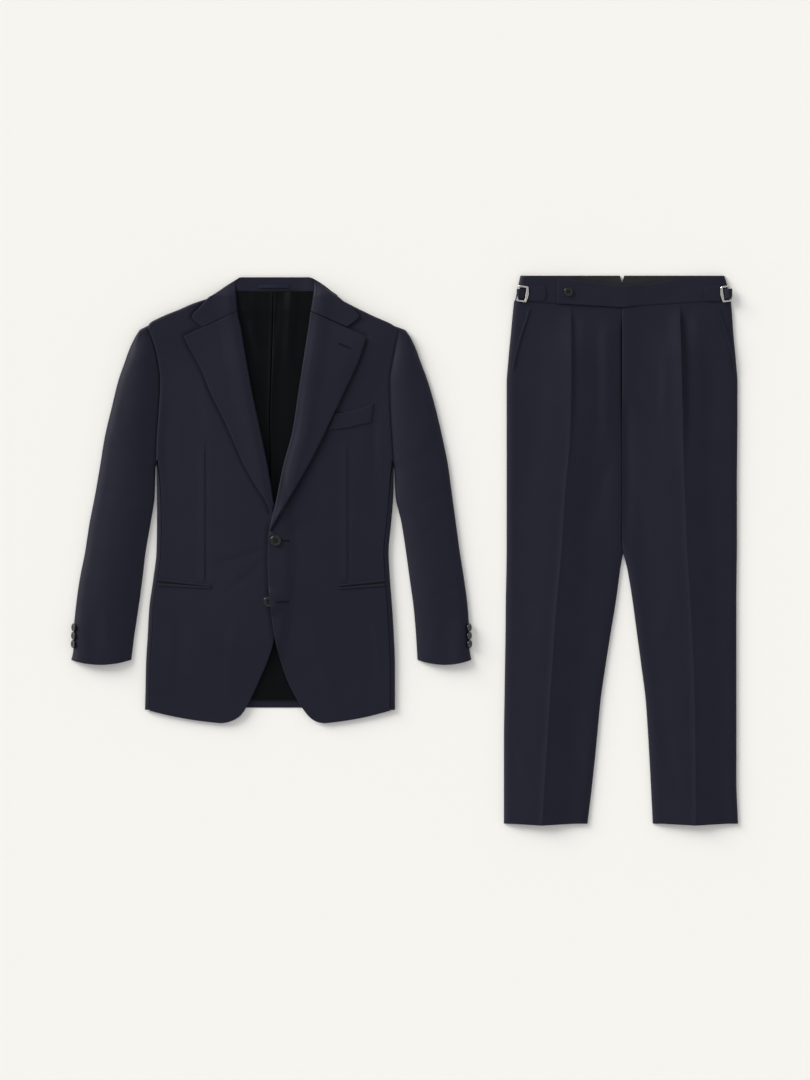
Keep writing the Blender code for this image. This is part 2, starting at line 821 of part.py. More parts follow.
def make_collar_leaf(side):
    crown = collar_crown(side)
    lining_top = BODY_CLOTH + SEAM + LINING_CLOTH + COLLAR_LIFT
    rows = []
    for roll_drop, right_x, right_drop, left_x, left_drop, outer_fold_down in COLLAR_ROWS:
        edge_x, edge_drop = by_side(side, (right_x, right_drop), (left_x, left_drop))
        roll_x = centre_edge(side, roll_drop)
        roll_fold = Fold(ROLL_REACH, max(crown(roll_x, roll_drop) - lining_top - SEAM, 2 * SEAM))
        edge_fold = FREE_EDGE
        if outer_fold_down:
            edge_fold = Fold(COLLAR_EDGE_REACH, crown(edge_x, edge_drop) - COLLAR_LIFT)
        rows.append(Row(roll_x, edge_x, slanted(roll_x, roll_drop, edge_x, edge_drop), roll_fold, edge_fold))
    wall(side + "_collar_leaf", JACKET_CENTRE, rows, crown, LAPEL_CLOTH, "navy_wool",
         stops=(0.0, 0.5, 1.0), steps=(3, 2))


def make_collar_stand():
    """Inside of the collar at the back of the neck."""
    def crown(x, drop):
        middle = (centre_edge("right", drop) + centre_edge("left", drop)) / 2
        rise = smooth((abs(x - middle) - 45) / 24)
        return COLLAR_LIFT + BODY_CLOTH + STAND_RISE * rise

    rows = []
    for drop in STAND_ROWS:
        rows.append(Row(centre_edge("right", drop) + 2 * SEAM, centre_edge("left", drop) - 2 * SEAM,
                        level(drop), PLAIN_EDGE, PLAIN_EDGE))
    wall("collar_stand", JACKET_CENTRE, rows, crown, BODY_CLOTH, "navy_wool",
         stops=(0.1, 0.25, 0.5, 0.75, 0.9))


def make_collar_fall():
    """Part of the collar that lies behind the neck, under the back."""
    rows = []
    for drop, right_x, left_x in COLLAR_FALL_ROWS:
        bow = COLLAR_FALL_BOW * smooth((drop - 40) / 8)
        rows.append(Row(right_x, left_x, slanted(right_x, drop, left_x, drop, bow), PLAIN_EDGE, PLAIN_EDGE))
    wall("collar_back_fall", JACKET_CENTRE, rows, lambda x, drop: BODY_CLOTH, BODY_CLOTH, "navy_wool",
         stops=(0.25, 0.5, 0.75))


def make_loop():
    """Hanger tape that stands a little off the stand between its sewn ends."""
    middle = (LOOP_LEFT_X + LOOP_RIGHT_X) / 2
    half = (LOOP_LEFT_X - LOOP_RIGHT_X) / 2

    def crown(x, drop):
        arch = LOOP_ARCH * smooth(1.15 * (1 - abs(x - middle) / half))
        return COLLAR_LIFT + BODY_CLOTH + SEAM + TRIM_CLOTH + arch
    rows = [Row(LOOP_RIGHT_X, LOOP_LEFT_X, level(LOOP_DROP + offset), PLAIN_EDGE, PLAIN_EDGE)
            for offset in (-LOOP_WIDTH / 2, LOOP_WIDTH / 2)]
    wall("hanger_loop", JACKET_CENTRE, rows, crown, TRIM_CLOTH, "loop_tape", stops=(0.15, 0.4, 0.6, 0.85))


# Pockets of the jacket

def body_surface(side):
    """Height of the jacket's outer surface, side fold and all."""
    crown = front_crown(side)

    def surface(x, drop):
        inside = abs(x - side_fold(side, drop))
        if inside >= SIDE_REACH:
            return crown(x, drop)
        turn = sqrt(max(0.0, 1 - (1 - inside / SIDE_REACH) ** 2))
        half = side_height(drop) / 2
        return half + half * turn
    return surface


def make_hip_pocket(side, inner_x, upper, lower, outer_x, outer_upper, outer_lower):
    """Two narrow jets, one above and one below the pocket's mouth."""
    surface = body_surface(side)

    def crown(x, drop):
        return surface(x, drop) + 2 * SEAM + TRIM_CLOTH

    for name, first, last, way in (("upper", upper, outer_upper, 1), ("lower", lower, outer_lower, -1)):
        rows = []
        for offset in (0.0, way * JET_WIDTH):
            line = slanted(inner_x, first + offset, outer_x, last + offset)
            rows.append(Row(inner_x, outer_x, line, PLAIN_EDGE, PLAIN_EDGE))
        wall(side + "_pocket_" + name + "_jet", JACKET_CENTRE, rows, crown, TRIM_CLOTH, "navy_wool",
             stops=(0.3, 0.6, 0.9))


def make_breast_welt():
    surface = front_crown("left")

    def crown(x, drop):
        return surface(x, drop) + SEAM + LINING_CLOTH
    rows = []
    for fraction in (0.0, 0.5, 1.0):
        ends = [(blend(xt, xb, fraction), blend(dt, db, fraction)) for xt, dt, xb, db in BREAST_WELT]
        rows.append(Row(ends[0][0], ends[-1][0], through(ends), SEWN_EDGE, SEWN_EDGE))
    wall("breast_welt", JACKET_CENTRE, rows, crown, LINING_CLOTH, "navy_wool", stops=(0.0, 0.35, 0.7, 1.0))


# Buttons and buckles

def turned(name, profile, segments, finish):
    """Solid of revolution from a profile of (radius, z) that starts and ends on the axis."""
    mesh = bpy.data.meshes.new(name)
    shell = bmesh.new()
    rings = []
    for radius, z in profile:
        if radius == 0:
            rings.append([shell.verts.new((0, 0, z * MM))])
            continue
        rings.append([shell.verts.new((radius * cos(2 * pi * k / segments) * MM,
                                       radius * sin(2 * pi * k / segments) * MM, z * MM))
                      for k in range(segments)])
    for first, second in zip(rings, rings[1:]):
        for k in range(segments):
            n = (k + 1) % segments
            corners = [first[k % len(first)], first[n % len(first)],
                       second[n % len(second)], second[k % len(second)]]
            face = []
            for corner in corners:
                if corner not in face:
                    face.append(corner)
            shell.faces.new(face)
    bmesh.ops.recalc_face_normals(shell, faces=shell.faces)
    shell.to_mesh(mesh)
    shell.free()
    mesh.materials.append(material(finish))
    mesh.shade_smooth()
    mesh.set_sharp_from_angle(angle=0.7)
    made = bpy.data.objects.new(name, mesh)
    bpy.context.collection.objects.link(made)
    return made


def button_profile(diameter):
    """Flat back, rounded rim and a dished face, from the back's centre to the face's centre."""
    r = diameter / 2
    t = 0.16 * diameter
    return ((0, 0), (0.82 * r, 0), (r, 0.45 * t), (0.96 * r, 0.85 * t), (0.86 * r, t),
            (0.68 * r, 0.78 * t), (0.5 * r, 0.66 * t), (0, 0.66 * t))


def thread_holes(made, diameter):
    """Four holes in a square round the middle of a button."""
    half = 0.105 * diameter
    for k in range(4):
        x = half * (1 if k in (0, 3) else -1)
        y = half * (1 if k < 2 else -1)
        bpy.ops.mesh.primitive_cylinder_add(vertices=8, radius=0.055 * diameter * MM, depth=8 * MM)
        cutter = bpy.context.object
        cutter.name = made.name + "_hole_" + str(k + 1)
        cutter.parent = made
        cutter.location = (x * MM, y * MM, 0)
        cutter.hide_render = True
        cutter.display_type = "WIRE"
        cut = made.modifiers.new("hole " + str(k + 1), "BOOLEAN")
        cut.object = cutter
        cut.operation = "DIFFERENCE"
        cut.solver = "EXACT"


def make_button(name, centre_x, x, drop, z, diameter, holes):
    made = turned(name, button_profile(diameter), 20 if holes else 16, "dark_horn")
    made.location = place(centre_x, x, drop, z)
    if holes:
        thread_holes(made, diameter)
    return made


def make_front_buttons():
    over = front_crown("left")
    under = front_crown("right")
    make_button("upper_front_button", JACKET_CENTRE, *UPPER_BUTTON,
                over(*UPPER_BUTTON) + SEAM, FRONT_BUTTON, True)
    make_button("lower_front_button", JACKET_CENTRE, *LOWER_BUTTON,
                under(*LOWER_BUTTON) + SEAM, FRONT_BUTTON, True)


def make_cuff_buttons(side):
    """Buttons that touch one another along the outer fold of the cuff, standing nearly on edge."""
    sign = side_sign(side)
    tilt = CUFF_BUTTON_TILT * pi / 180
    for k, drop in enumerate(CUFF_BUTTON_DROPS):
        edge = sleeve_row_edges(side, drop)[0]
        made = make_button(side + "_cuff_button_" + str(k + 1), JACKET_CENTRE,
                           edge - sign * CUFF_BUTTON_INSET, drop, CUFF_BUTTON_HEIGHT, CUFF_BUTTON, False)
        made.rotation_euler = (0, sign * tilt, 0)


def make_buckle(side, centre_x, x, drop, z):
    """Flat frame with rounded corners and one window."""
    mesh = bpy.data.meshes.new(side + "_buckle")
    shell = bmesh.new()

    def loop(half_width, half_height, corner, height):
        ring = []
        for cx, cy, first in ((1, 1, 0), (-1, 1, 1), (-1, -1, 2), (1, -1, 3)):
            for k in range(BUCKLE_CORNER_TURNS + 1):
                angle = (first + k / BUCKLE_CORNER_TURNS) * pi / 2
                ring.append(shell.verts.new(((cx * (half_width - corner) + corner * cos(angle)) * MM,
                                             (cy * (half_height - corner) + corner * sin(angle)) * MM,
                                             height * MM)))
        return ring
    outer_w, outer_h = BUCKLE_WIDTH / 2, BUCKLE_HEIGHT / 2
    inner_w, inner_h = outer_w - BUCKLE_BAR, outer_h - BUCKLE_RAIL
    rings = [loop(outer_w, outer_h, BUCKLE_CORNER, 0), loop(outer_w, outer_h, BUCKLE_CORNER, BUCKLE_WIRE),
             loop(inner_w, inner_h, BUCKLE_WINDOW_CORNER, BUCKLE_WIRE),
             loop(inner_w, inner_h, BUCKLE_WINDOW_CORNER, 0)]
    for first, second in zip(rings, rings[1:] + rings[:1]):
        count = len(first)
        for k in range(count):
            shell.faces.new((first[k], first[(k + 1) % count], second[(k + 1) % count], second[k]))
    bmesh.ops.recalc_face_normals(shell, faces=shell.faces)
    shell.to_mesh(mesh)
    shell.free()
    mesh.materials.append(material("steel"))
    made = bpy.data.objects.new(side + "_buckle", mesh)
    made.location = place(centre_x, x, drop, z)
    bpy.context.collection.objects.link(made)
    return made


# Trousers

def leg_edges(side, drop):
    """Outer fold, crease and inner fold of a leg at a height."""
    edges = read_table(LEG_EDGES, drop)
    if side == "right":
        return edges[0], edges[1], edges[2]
    return edges[5], edges[4], edges[3]


def leg_relief(side):
    """What rises on a leg: the pressed crease, which starts as a pleat at the waist, and the fly."""
    def relief(x, drop):
        crease = leg_edges(side, drop)[1]
        ridge = CREASE_RISE * max(0.0, 1 - abs(x - crease) / CREASE_HALF) ** 2
        fly = FLY_RISE * smooth(1 - abs(x) / FLY_WIDTH) * smooth((310 - drop) / 60)
        return ridge + by_side(side, 0.0, fly)
    return relief


def leg_crown(side):
    relief = leg_relief(side)
    return lambda x, drop: LEG_HEIGHT + relief(x, drop)


def pointed(drop, crease_x):
    """Hem that dips to a point at the crease."""
    return lambda x: drop + CREASE_POINT * max(0.0, 1 - abs(x - crease_x) / CREASE_POINT_HALF)


def below_band(x):
    return read_table(BAND_EDGES, x)[1] + 2 * SEAM


def make_leg(side):
    crown = leg_crown(side)
    landing = BAND_CLOTH + SEAM
    front_rows = []
    back_rows = []
    for k, drop in enumerate(LEG_ROW_DROPS):
        outer_x, crease_x, inner_x = leg_edges(side, drop)
        full_fall = crown(outer_x, drop) - landing
        inner_fall = blend(1.0, full_fall, smooth((drop - FOLD_SPLIT_DROP) / 60))
        line = level(drop)
        if k == len(LEG_ROW_DROPS) - 1:
            line = pointed(drop, crease_x)
        back_rows.append(Row(outer_x, inner_x, line, PLAIN_EDGE, PLAIN_EDGE))
        if k == 0:
            line = below_band
            outer_x = leg_edges(side, line(outer_x))[0]
        front_rows.append(Row(outer_x, inner_x, line, Fold(LEG_REACH, full_fall),
                              Fold(LEG_REACH, inner_fall)))

    def stops(row):
        crease = leg_edges(side, row.drop(row.x_a))[1]
        t = (crease - row.x_a) / (row.x_b - row.x_a)
        return (0.0, 0.55 * t, t - 0.09, t, t + 0.09, blend(t, 1.0, 0.55), 1.0)
    wall(side + "_leg_front", TROUSERS_CENTRE, front_rows, crown, TROUSER_CLOTH, "navy_wool", stops=stops,
         steps=(3, 3), pad=leg_relief(side))
    wall(side + "_leg_back", TROUSERS_CENTRE, back_rows, lambda x, drop: TROUSER_CLOTH,
         TROUSER_CLOTH, "navy_wool", stops=(0.5,))


def band_row(x_a, x_b, fraction, fold_a, fold_b):
    def drop(x):
        top, bottom = read_table(BAND_EDGES, x)
        return blend(top, bottom, fraction)
    return Row(x_a, x_b, drop, fold_a, fold_b)


def band_side(side, drop):
    return by_side(side, *read_table(BAND_SIDE, drop))


def make_front_bands():
    """The right band ends at the fly; the left one laps over it as a buttoned tab."""
    landing = BAND_CLOTH + SEAM

    def crown(x, drop):
        return BAND_HEIGHT

    def lapped(x, drop):
        return BAND_HEIGHT + (BAND_CLOTH + SEAM) * smooth((TAB_RAMP_START - x) / TAB_RAMP)

    right_rows = []
    left_rows = []
    for fraction in (0.0, 0.33, 0.67, 1.0):
        drop = blend(3, 47, fraction)
        side_fall = Fold(LEG_REACH, BAND_HEIGHT - landing)
        right_rows.append(band_row(band_side("right", drop), -0.5, fraction, side_fall, SEWN_EDGE))
        left_rows.append(band_row(band_side("left", drop), TAB_END_X, fraction, side_fall, FREE_EDGE))
    wall("right_front_band", TROUSERS_CENTRE, right_rows, crown, BAND_CLOTH, "navy_wool",
         stops=(0.0, 0.2, 0.42, 0.65, 0.83), steps=(3, 1))
    wall("left_front_band", TROUSERS_CENTRE, left_rows, lapped, BAND_CLOTH, "navy_wool",
         stops=(0.0, 0.16, 0.32, 0.45, 0.54, 0.59, 0.62, 0.75, 0.87), steps=(3, 1))


def make_back_bands():
    """Back of the waistband in two halves that part in a small notch, with a lining inside."""
    def outer_height(x, drop):
        return BAND_CLOTH

    def lining_height(x, drop):
        return BAND_CLOTH + SEAM + LINING_CLOTH

    for side in ("right", "left"):
        sign = side_sign(side)
        band_rows = []
        lining_rows = []
        notches = ((TOP_DROP, BAND_NOTCH_HALF), (TOP_DROP + BAND_NOTCH_DEPTH, 0.0), (BACK_BAND_END, 0.0))
        for drop, notch in notches:
            centre = sign * (notch + SEAM / 2)
            edge = band_side(side, drop)
            band_rows.append(Row(centre, edge, level(drop), PLAIN_EDGE, PLAIN_EDGE))
            lining_rows.append(Row(centre, edge - sign * LEG_REACH, level(drop + LINING_DROP),
                                   PLAIN_EDGE, PLAIN_EDGE))
        wall(side + "_back_band", TROUSERS_CENTRE, band_rows, outer_height, BAND_CLOTH, "navy_wool",
             stops=(0.5,))
        wall(side + "_band_lining", TROUSERS_CENTRE, lining_rows, lining_height, LINING_CLOTH,
             "grey_lining", stops=(0.5,))


def make_adjuster(side, inner_x, width, outer_x):
    """Strap with a pointed end that runs out to the buckle on the side fold."""
    sign = side_sign(side)

    def crown(x, drop):
        return BAND_HEIGHT + SEAM + TRIM_CLOTH + STRAP_CLEARANCE
    rows = []
    for offset, shortened in ((-0.5, STRAP_POINT), (-0.25, STRAP_SHOULDER),
                              (0.25, STRAP_SHOULDER), (0.5, STRAP_POINT)):
        rows.append(Row(inner_x + sign * shortened, outer_x, level(STRAP_DROP + width * offset),
                        PLAIN_EDGE, PLAIN_EDGE))
    wall(side + "_adjuster_strap", TROUSERS_CENTRE, rows, crown, TRIM_CLOTH, "navy_wool", stops=(0.5,))
    make_buckle(side, TROUSERS_CENTRE, outer_x + sign * (BUCKLE_WIDTH / 2 + BUCKLE_GAP),
                STRAP_DROP + BUCKLE_OFFSET,
                BAND_HEIGHT + 2 * SEAM)


def make_slant_pocket(side):
    """Narrow welt along the slanted mouth of the side pocket."""
    crown = leg_crown(side)
    sign = side_sign(side)

    def above(x, drop):
        outer_x = leg_edges(side, drop)[0]
        inside = abs(x - outer_x)
        sink = 0.0
        if inside < LEG_REACH:
            sink = (LEG_HEIGHT - TROUSER_CLOTH) * (1 - sqrt(max(0.0, 1 - (1 - inside / LEG_REACH) ** 2)))
        return crown(x, drop) - sink + SEAM + TRIM_CLOTH + SLANT_POCKET_CLEARANCE
    rows = []
    for drop, right_x, left_x in SLANT_POCKET:
        x = by_side(side, right_x, left_x)
        rows.append(Row(x - sign * SLANT_POCKET_WELT, x, level(drop), PLAIN_EDGE, PLAIN_EDGE))
    wall(side + "_side_pocket_welt", TROUSERS_CENTRE, rows, above, TRIM_CLOTH, "navy_wool", stops=())


def make_jacket():
    make_collar_fall()
    make_collar_stand()
    make_back_lining()
    make_loop()
    for side in ("right", "left"):
        make_back(side)
        make_side_panel(side)
        make_front(side)
        make_sleeve(side)
        make_lapel(side)
        make_collar_leaf(side)
        make_cuff_buttons(side)
    for pocket in POCKETS:
        make_hip_pocket(*pocket)
    make_breast_welt()
    make_front_buttons()


def make_trousers():
    for side in ("right", "left"):
        make_leg(side)
        make_slant_pocket(side)
    make_front_bands()
    make_back_bands()
    for strap in STRAPS:
        make_adjuster(*strap)
    make_button("waist_button", TROUSERS_CENTRE, *WAIST_BUTTON_PLACE,
                BAND_HEIGHT + BAND_CLOTH + 2 * SEAM, WAIST_BUTTON, True)


clear_scene()
make_jacket()
make_trousers()
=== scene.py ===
# %% [markdown]
# # A two-piece suit, laid flat
# A buttoned two-button jacket lies beside its pleated trousers on a pale surface. Every piece of cloth
# here is a thin closed shell with a face and an underside, as a tailor's cut piece is, laid on the piece
# below it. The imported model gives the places; this lesson gives the folds, the sewing and the finishes.

# %% Load the frame
from math import cos, hypot, pi, radians, sin

import bmesh
import bpy
import numpy as np
from mathutils import Matrix, Vector


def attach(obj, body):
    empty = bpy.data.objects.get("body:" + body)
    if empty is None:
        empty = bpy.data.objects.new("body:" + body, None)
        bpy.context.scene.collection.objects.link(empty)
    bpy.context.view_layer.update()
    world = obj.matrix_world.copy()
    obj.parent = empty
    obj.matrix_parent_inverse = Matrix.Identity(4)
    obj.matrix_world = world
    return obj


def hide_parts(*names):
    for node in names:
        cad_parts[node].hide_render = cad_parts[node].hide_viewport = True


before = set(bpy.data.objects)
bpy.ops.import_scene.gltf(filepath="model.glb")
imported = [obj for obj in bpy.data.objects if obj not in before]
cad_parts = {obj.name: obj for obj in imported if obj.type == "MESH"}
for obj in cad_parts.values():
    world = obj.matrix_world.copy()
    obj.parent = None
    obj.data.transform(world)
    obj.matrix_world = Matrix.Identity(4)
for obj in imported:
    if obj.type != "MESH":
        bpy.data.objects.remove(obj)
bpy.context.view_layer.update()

# %% [markdown]
# ## Measures
# Tailors measure in millimetres, so every table here does too. In each garment x runs from its centre
# line towards the wearer's left, and drop runs down from its top edge. One function turns both into
# world metres, so no later cell has to think about where the garment lies.

# %% Where each garment lies
MM = 0.001
TOP_Y = 502.0
JACKET_X = -243.2
TROUSERS_X = 396.0
SIDES = ("right", "left")


def to_world(centre_x, x, drop, z):
    """World points, in metres, of garment points in millimetres."""
    x, y, z = np.broadcast_arrays(centre_x + np.asarray(x, float), TOP_Y - np.asarray(drop, float), z)
    return np.stack([x, y, z], axis=-1) * MM


def sign_of(side):
    return -1.0 if side == "right" else 1.0


def by_side(side, right_value, left_value):
    return right_value if side == "right" else left_value


print("jacket centre", JACKET_X, "mm, trousers centre", TROUSERS_X, "mm")

# %% [markdown]
# ## Curves from tables
# An edge of a garment is a curve through a few measured points. A spline that may swing past its points
# would put bumps into a seam, so this reader keeps every curve between its rows.


# %% Curves read from tables
def smooth(t):
    t = np.clip(t, 0.0, 1.0)
    return t * t * (3.0 - 2.0 * t)


def mix(a, b, t):
    return a + (b - a) * t


def read_table(table, key):
    """The table's other columns at key, one array each."""
    rows = np.array(table, float)
    key = np.clip(np.asarray(key, float), rows[0, 0], rows[-1, 0])
    step = np.diff(rows[:, 0])
    i = np.clip(np.searchsorted(rows[:, 0], key, side="right") - 1, 0, len(step) - 1)
    t = (key - rows[i, 0]) / step[i]
    curves = []
    for column in rows[:, 1:].T:
        grade = np.diff(column) / step
        before, after = grade[:-1], grade[1:]
        same = before * after > 0
        inner = np.where(same, 2 * before * after / np.where(same, before + after, 1.0), 0.0)
        slope = np.concatenate([grade[:1], inner, grade[-1:]])
        curves.append(column[i] * (1 + 2 * t) * (1 - t) ** 2 + slope[i] * step[i] * t * (1 - t) ** 2
                      + column[i + 1] * t * t * (3 - 2 * t) + slope[i + 1] * step[i] * t * t * (t - 1))
    return curves


ROLL_STEPS = 4


def row_keys(first, last, step, roll=(0.0, 0.0)):
    """Values from first to last about a step apart, closer together where an end is rolled."""
    count = max(int(round((last - first) / step)), 1)
    keys = list(np.linspace(first, last, count + 1))
    turns = [0.5 * pi * k / ROLL_STEPS for k in range(1, ROLL_STEPS + 1)]
    for size, edge, way in ((roll[0], first, 1), (roll[1], last, -1)):
        if size:
            keys += [edge + way * size * (1 - cos(turn)) for turn in turns]
    return np.unique(np.round(keys, 4))


def roll_sink(keys, roll):
    """How far each row sinks where the piece's first and last edges are rolled over."""
    sink = np.zeros_like(keys)
    for size, away in ((roll[0], keys - keys[0]), (roll[1], keys[-1] - keys)):
        if size:
            t = np.clip(1 - away / size, 0, 1)
            sink += 0.6 * size * (1 - np.sqrt(1 - t * t))
    return sink


print("half way down the curve", [round(float(v), 2) for v in read_table(((0, 0), (10, 4), (20, 4)), 5)])

# %% [markdown]
# ## Finishes
# The suit is worsted wool in navy: long combed fibres spun tight and woven plain, so it is matt with a
# fine dry grain and only a breath of sheen from the fibre ends. The lining is cupro twill, near black and
# silky. Buttons are polished horn, buckles are nickel-plated brass, and the sewing is polyester thread.
# Each finish is a Principled shader, with its pattern built from wave and noise nodes at real sizes.


# %% Colour and node helpers
def to_linear(code):
    """Linear colour of an sRGB hex value."""
    channels = [int(code[i:i + 2], 16) / 255 for i in (1, 3, 5)]
    return (*[c / 12.92 if c <= 0.04045 else ((c + 0.055) / 1.055) ** 2.4 for c in channels], 1.0)


def node(tree, kind, settings=None, links=None):
    """One node: settings are attributes or socket values, links feed sockets from other nodes."""
    made = tree.nodes.new(kind)
    for key, value in (settings or {}).items():
        if isinstance(key, int) or key in made.inputs:
            made.inputs[key].default_value = value
        else:
            setattr(made, key, value)
    for key, source in (links or {}).items():
        tree.links.new(source, made.inputs[key])
    return made


def new_material(name, **sockets):
    """A Principled material; returns it with its tree and its shader."""
    made = bpy.data.materials.new(name)
    made.use_nodes = True
    tree = made.node_tree
    shader = tree.nodes["Principled BSDF"]
    for key, value in sockets.items():
        shader.inputs[key.replace("_", " ")].default_value = value
    return made, tree, shader


def bands_scale(period_mm):
    """Wave texture scale whose bands are period_mm apart: its phase is twenty times its scale."""
    return 2 * pi / (20 * period_mm * MM)


print("navy", [round(v, 4) for v in to_linear("#2b2a36")[:3]])

# %% [markdown]
# ### Worsted wool
# A worsted thread is about 0.35 mm thick. That is far finer than a picture of a whole suit can show, so
# the threads here are drawn 1.1 mm apart, coarse enough to give the surface its dry grain from near by.
# Warp and weft are two sets of bands, and a checker decides which of the two lies on top. The fibres'
# grain is drawn 2.6 mm wide for the same reason, and cloth is slightly uneven over a hand's width.

# %% Worsted wool
THREAD_MM = 1.1
GRAIN_MM = 2.6
CLOUD_MM = 70.0


def worsted(name, dark, light, sheen_tint):
    made, tree, shader = new_material(name, Roughness=0.56, Sheen_Weight=0.04, Sheen_Roughness=0.45,
                                      Sheen_Tint=to_linear(sheen_tint), IOR=1.45)
    shader.inputs["Specular IOR Level"].default_value = 0.22
    place = node(tree, "ShaderNodeTexCoord").outputs["Object"]
    threads = []
    for direction in ("X", "Y"):
        bands = {"bands_direction": direction, "Scale": bands_scale(THREAD_MM), "Distortion": 0.6,
                 "Detail": 1.0, "Detail Scale": 2.0}
        threads.append(node(tree, "ShaderNodeTexWave", bands, {"Vector": place}).outputs["Fac"])
    over = node(tree, "ShaderNodeTexChecker", {"Scale": 1 / (THREAD_MM * MM)}, {"Vector": place})
    weave = node(tree, "ShaderNodeMix", {"data_type": "FLOAT"},
                 {0: over.outputs["Fac"], 2: threads[0], 3: threads[1]}).outputs[0]
    grain = node(tree, "ShaderNodeTexNoise",
                 {"Scale": 1 / (GRAIN_MM * MM), "Detail": 3.0, "Roughness": 0.6},
                 {"Vector": place}).outputs["Fac"]
    cloud = node(tree, "ShaderNodeTexNoise",
                 {"Scale": 1 / (CLOUD_MM * MM), "Detail": 2.0, "Roughness": 0.5},
                 {"Vector": place}).outputs["Fac"]
    grain_part = node(tree, "ShaderNodeMath", {"operation": "MULTIPLY", 1: 0.55}, {0: grain}).outputs[0]
    cloud_part = node(tree, "ShaderNodeMath", {"operation": "MULTIPLY", 1: 0.35}, {0: cloud}).outputs[0]
    mottle = node(tree, "ShaderNodeMath", {"operation": "ADD"}, {0: grain_part, 1: cloud_part}).outputs[0]
    shade = node(tree, "ShaderNodeMath", {"operation": "MULTIPLY_ADD", 1: 0.10},
                 {0: weave, 2: mottle}).outputs[0]
    colour = node(tree, "ShaderNodeMix", {"data_type": "RGBA", 6: to_linear(dark), 7: to_linear(light)},
                  {0: shade}).outputs[2]
    tree.links.new(colour, shader.inputs["Base Color"])
    soft = node(tree, "ShaderNodeBump", {"Strength": 0.35, "Distance": 0.0008}, {"Height": cloud})
    dry = node(tree, "ShaderNodeBump", {"Strength": 0.30, "Distance": 0.00018},
               {"Height": grain, "Normal": soft.outputs["Normal"]})
    fine = node(tree, "ShaderNodeBump", {"Strength": 0.25, "Distance": 0.00012},
                {"Height": weave, "Normal": dry.outputs["Normal"]})
    tree.links.new(fine.outputs["Normal"], shader.inputs["Normal"])
    return made


WOOL = worsted("worsted_wool_navy", "#11111e", "#1d1d2e", "#4a4a66")
# A much darker copy of the wool, used only as painted shade inside the pocket mouths.
POCKET_SHADE_WOOL = worsted("worsted_wool_inside_pocket", "#060608", "#0a0a0d", "#101014")
print("wool thread", THREAD_MM, "mm apart, grain", GRAIN_MM, "mm")

# %% [markdown]
# ### Linings
# Cupro twill is woven with the weft floating over several warps, which makes fine diagonal ribs and a
# silky gloss. Its ribs are 0.4 mm apart in truth and 1.4 mm apart here so that they can be seen. The
# waistband is lined with a plain dark grey cotton, which has no gloss.

# %% Cupro twill and cotton
TWILL_MM = 1.4


def twill(name, dark, light, roughness, gloss, sheen, depth):
    made, tree, shader = new_material(name, Roughness=roughness, Sheen_Weight=sheen, Sheen_Roughness=0.35,
                                      Sheen_Tint=to_linear("#5a6068"), IOR=1.5)
    shader.inputs["Specular IOR Level"].default_value = gloss
    place = node(tree, "ShaderNodeTexCoord").outputs["Object"]
    ribs = node(tree, "ShaderNodeTexWave",
                {"bands_direction": "DIAGONAL", "Scale": bands_scale(TWILL_MM) / 2, "Distortion": 0.4,
                 "Detail": 1.0}, {"Vector": place}).outputs["Fac"]
    cloud = node(tree, "ShaderNodeTexNoise", {"Scale": 1 / (CLOUD_MM * MM), "Detail": 2.0},
                 {"Vector": place}).outputs["Fac"]
    colour = node(tree, "ShaderNodeMix", {"data_type": "RGBA", 6: to_linear(dark), 7: to_linear(light)},
                  {0: cloud}).outputs[2]
    tree.links.new(colour, shader.inputs["Base Color"])
    bump = node(tree, "ShaderNodeBump", {"Strength": depth, "Distance": 0.00015}, {"Height": ribs})
    tree.links.new(bump.outputs["Normal"], shader.inputs["Normal"])
    return made


LINING = twill("cupro_twill_black", "#020405", "#080b0e", 0.48, 0.09, 0.01, 0.2)
BAND_COTTON = twill("cotton_twill_dark_grey", "#1e1e1f", "#29292a", 0.85, 0.2, 0.04, 0.4)
TAPE = twill("woven_tape_blue", "#0f1424", "#1a2036", 0.6, 0.2, 0.04, 0.5)
print("twill ribs", TWILL_MM, "mm apart")

# %% [markdown]
# ### Horn, metal and thread
# Horn is layered like wood, so its colour runs in soft streaks, and turning and polishing leave it
# satin bright. Nickel plate on brass is a mirror with fine rubbing marks; as a metal it keeps the
# default IOR. Buttonhole thread is a tight twist of polyester with a slight gloss.

# %% Horn, nickel and thread
STREAK_MM = 3.0
RUB_MM = 0.8
TWIST_MM = 0.5


def horn():
    made, tree, shader = new_material("polished_horn_black", Roughness=0.18, IOR=1.54)
    shader.inputs["Specular IOR Level"].default_value = 0.55
    place = node(tree, "ShaderNodeTexCoord").outputs["Object"]
    long = node(tree, "ShaderNodeMapping", {"Scale": (1.0, 0.35, 1.0)}, {"Vector": place}).outputs["Vector"]
    streak = node(tree, "ShaderNodeTexNoise",
                  {"Scale": 1 / (STREAK_MM * MM), "Detail": 4.0, "Distortion": 0.8},
                  {"Vector": long}).outputs["Fac"]
    ramp = node(tree, "ShaderNodeValToRGB", {}, {"Fac": streak})
    stops = ((0.35, "#060606"), (0.6, "#0e0d0c"), (0.78, "#1c1a18"))
    while len(ramp.color_ramp.elements) < len(stops):
        ramp.color_ramp.elements.new(0.5)
    for element, (position, code) in zip(ramp.color_ramp.elements, stops):
        element.position = position
        element.color = to_linear(code)
    tree.links.new(ramp.outputs["Color"], shader.inputs["Base Color"])
    bump = node(tree, "ShaderNodeBump", {"Strength": 0.15, "Distance": 0.0001}, {"Height": streak})
    tree.links.new(bump.outputs["Normal"], shader.inputs["Normal"])
    return made


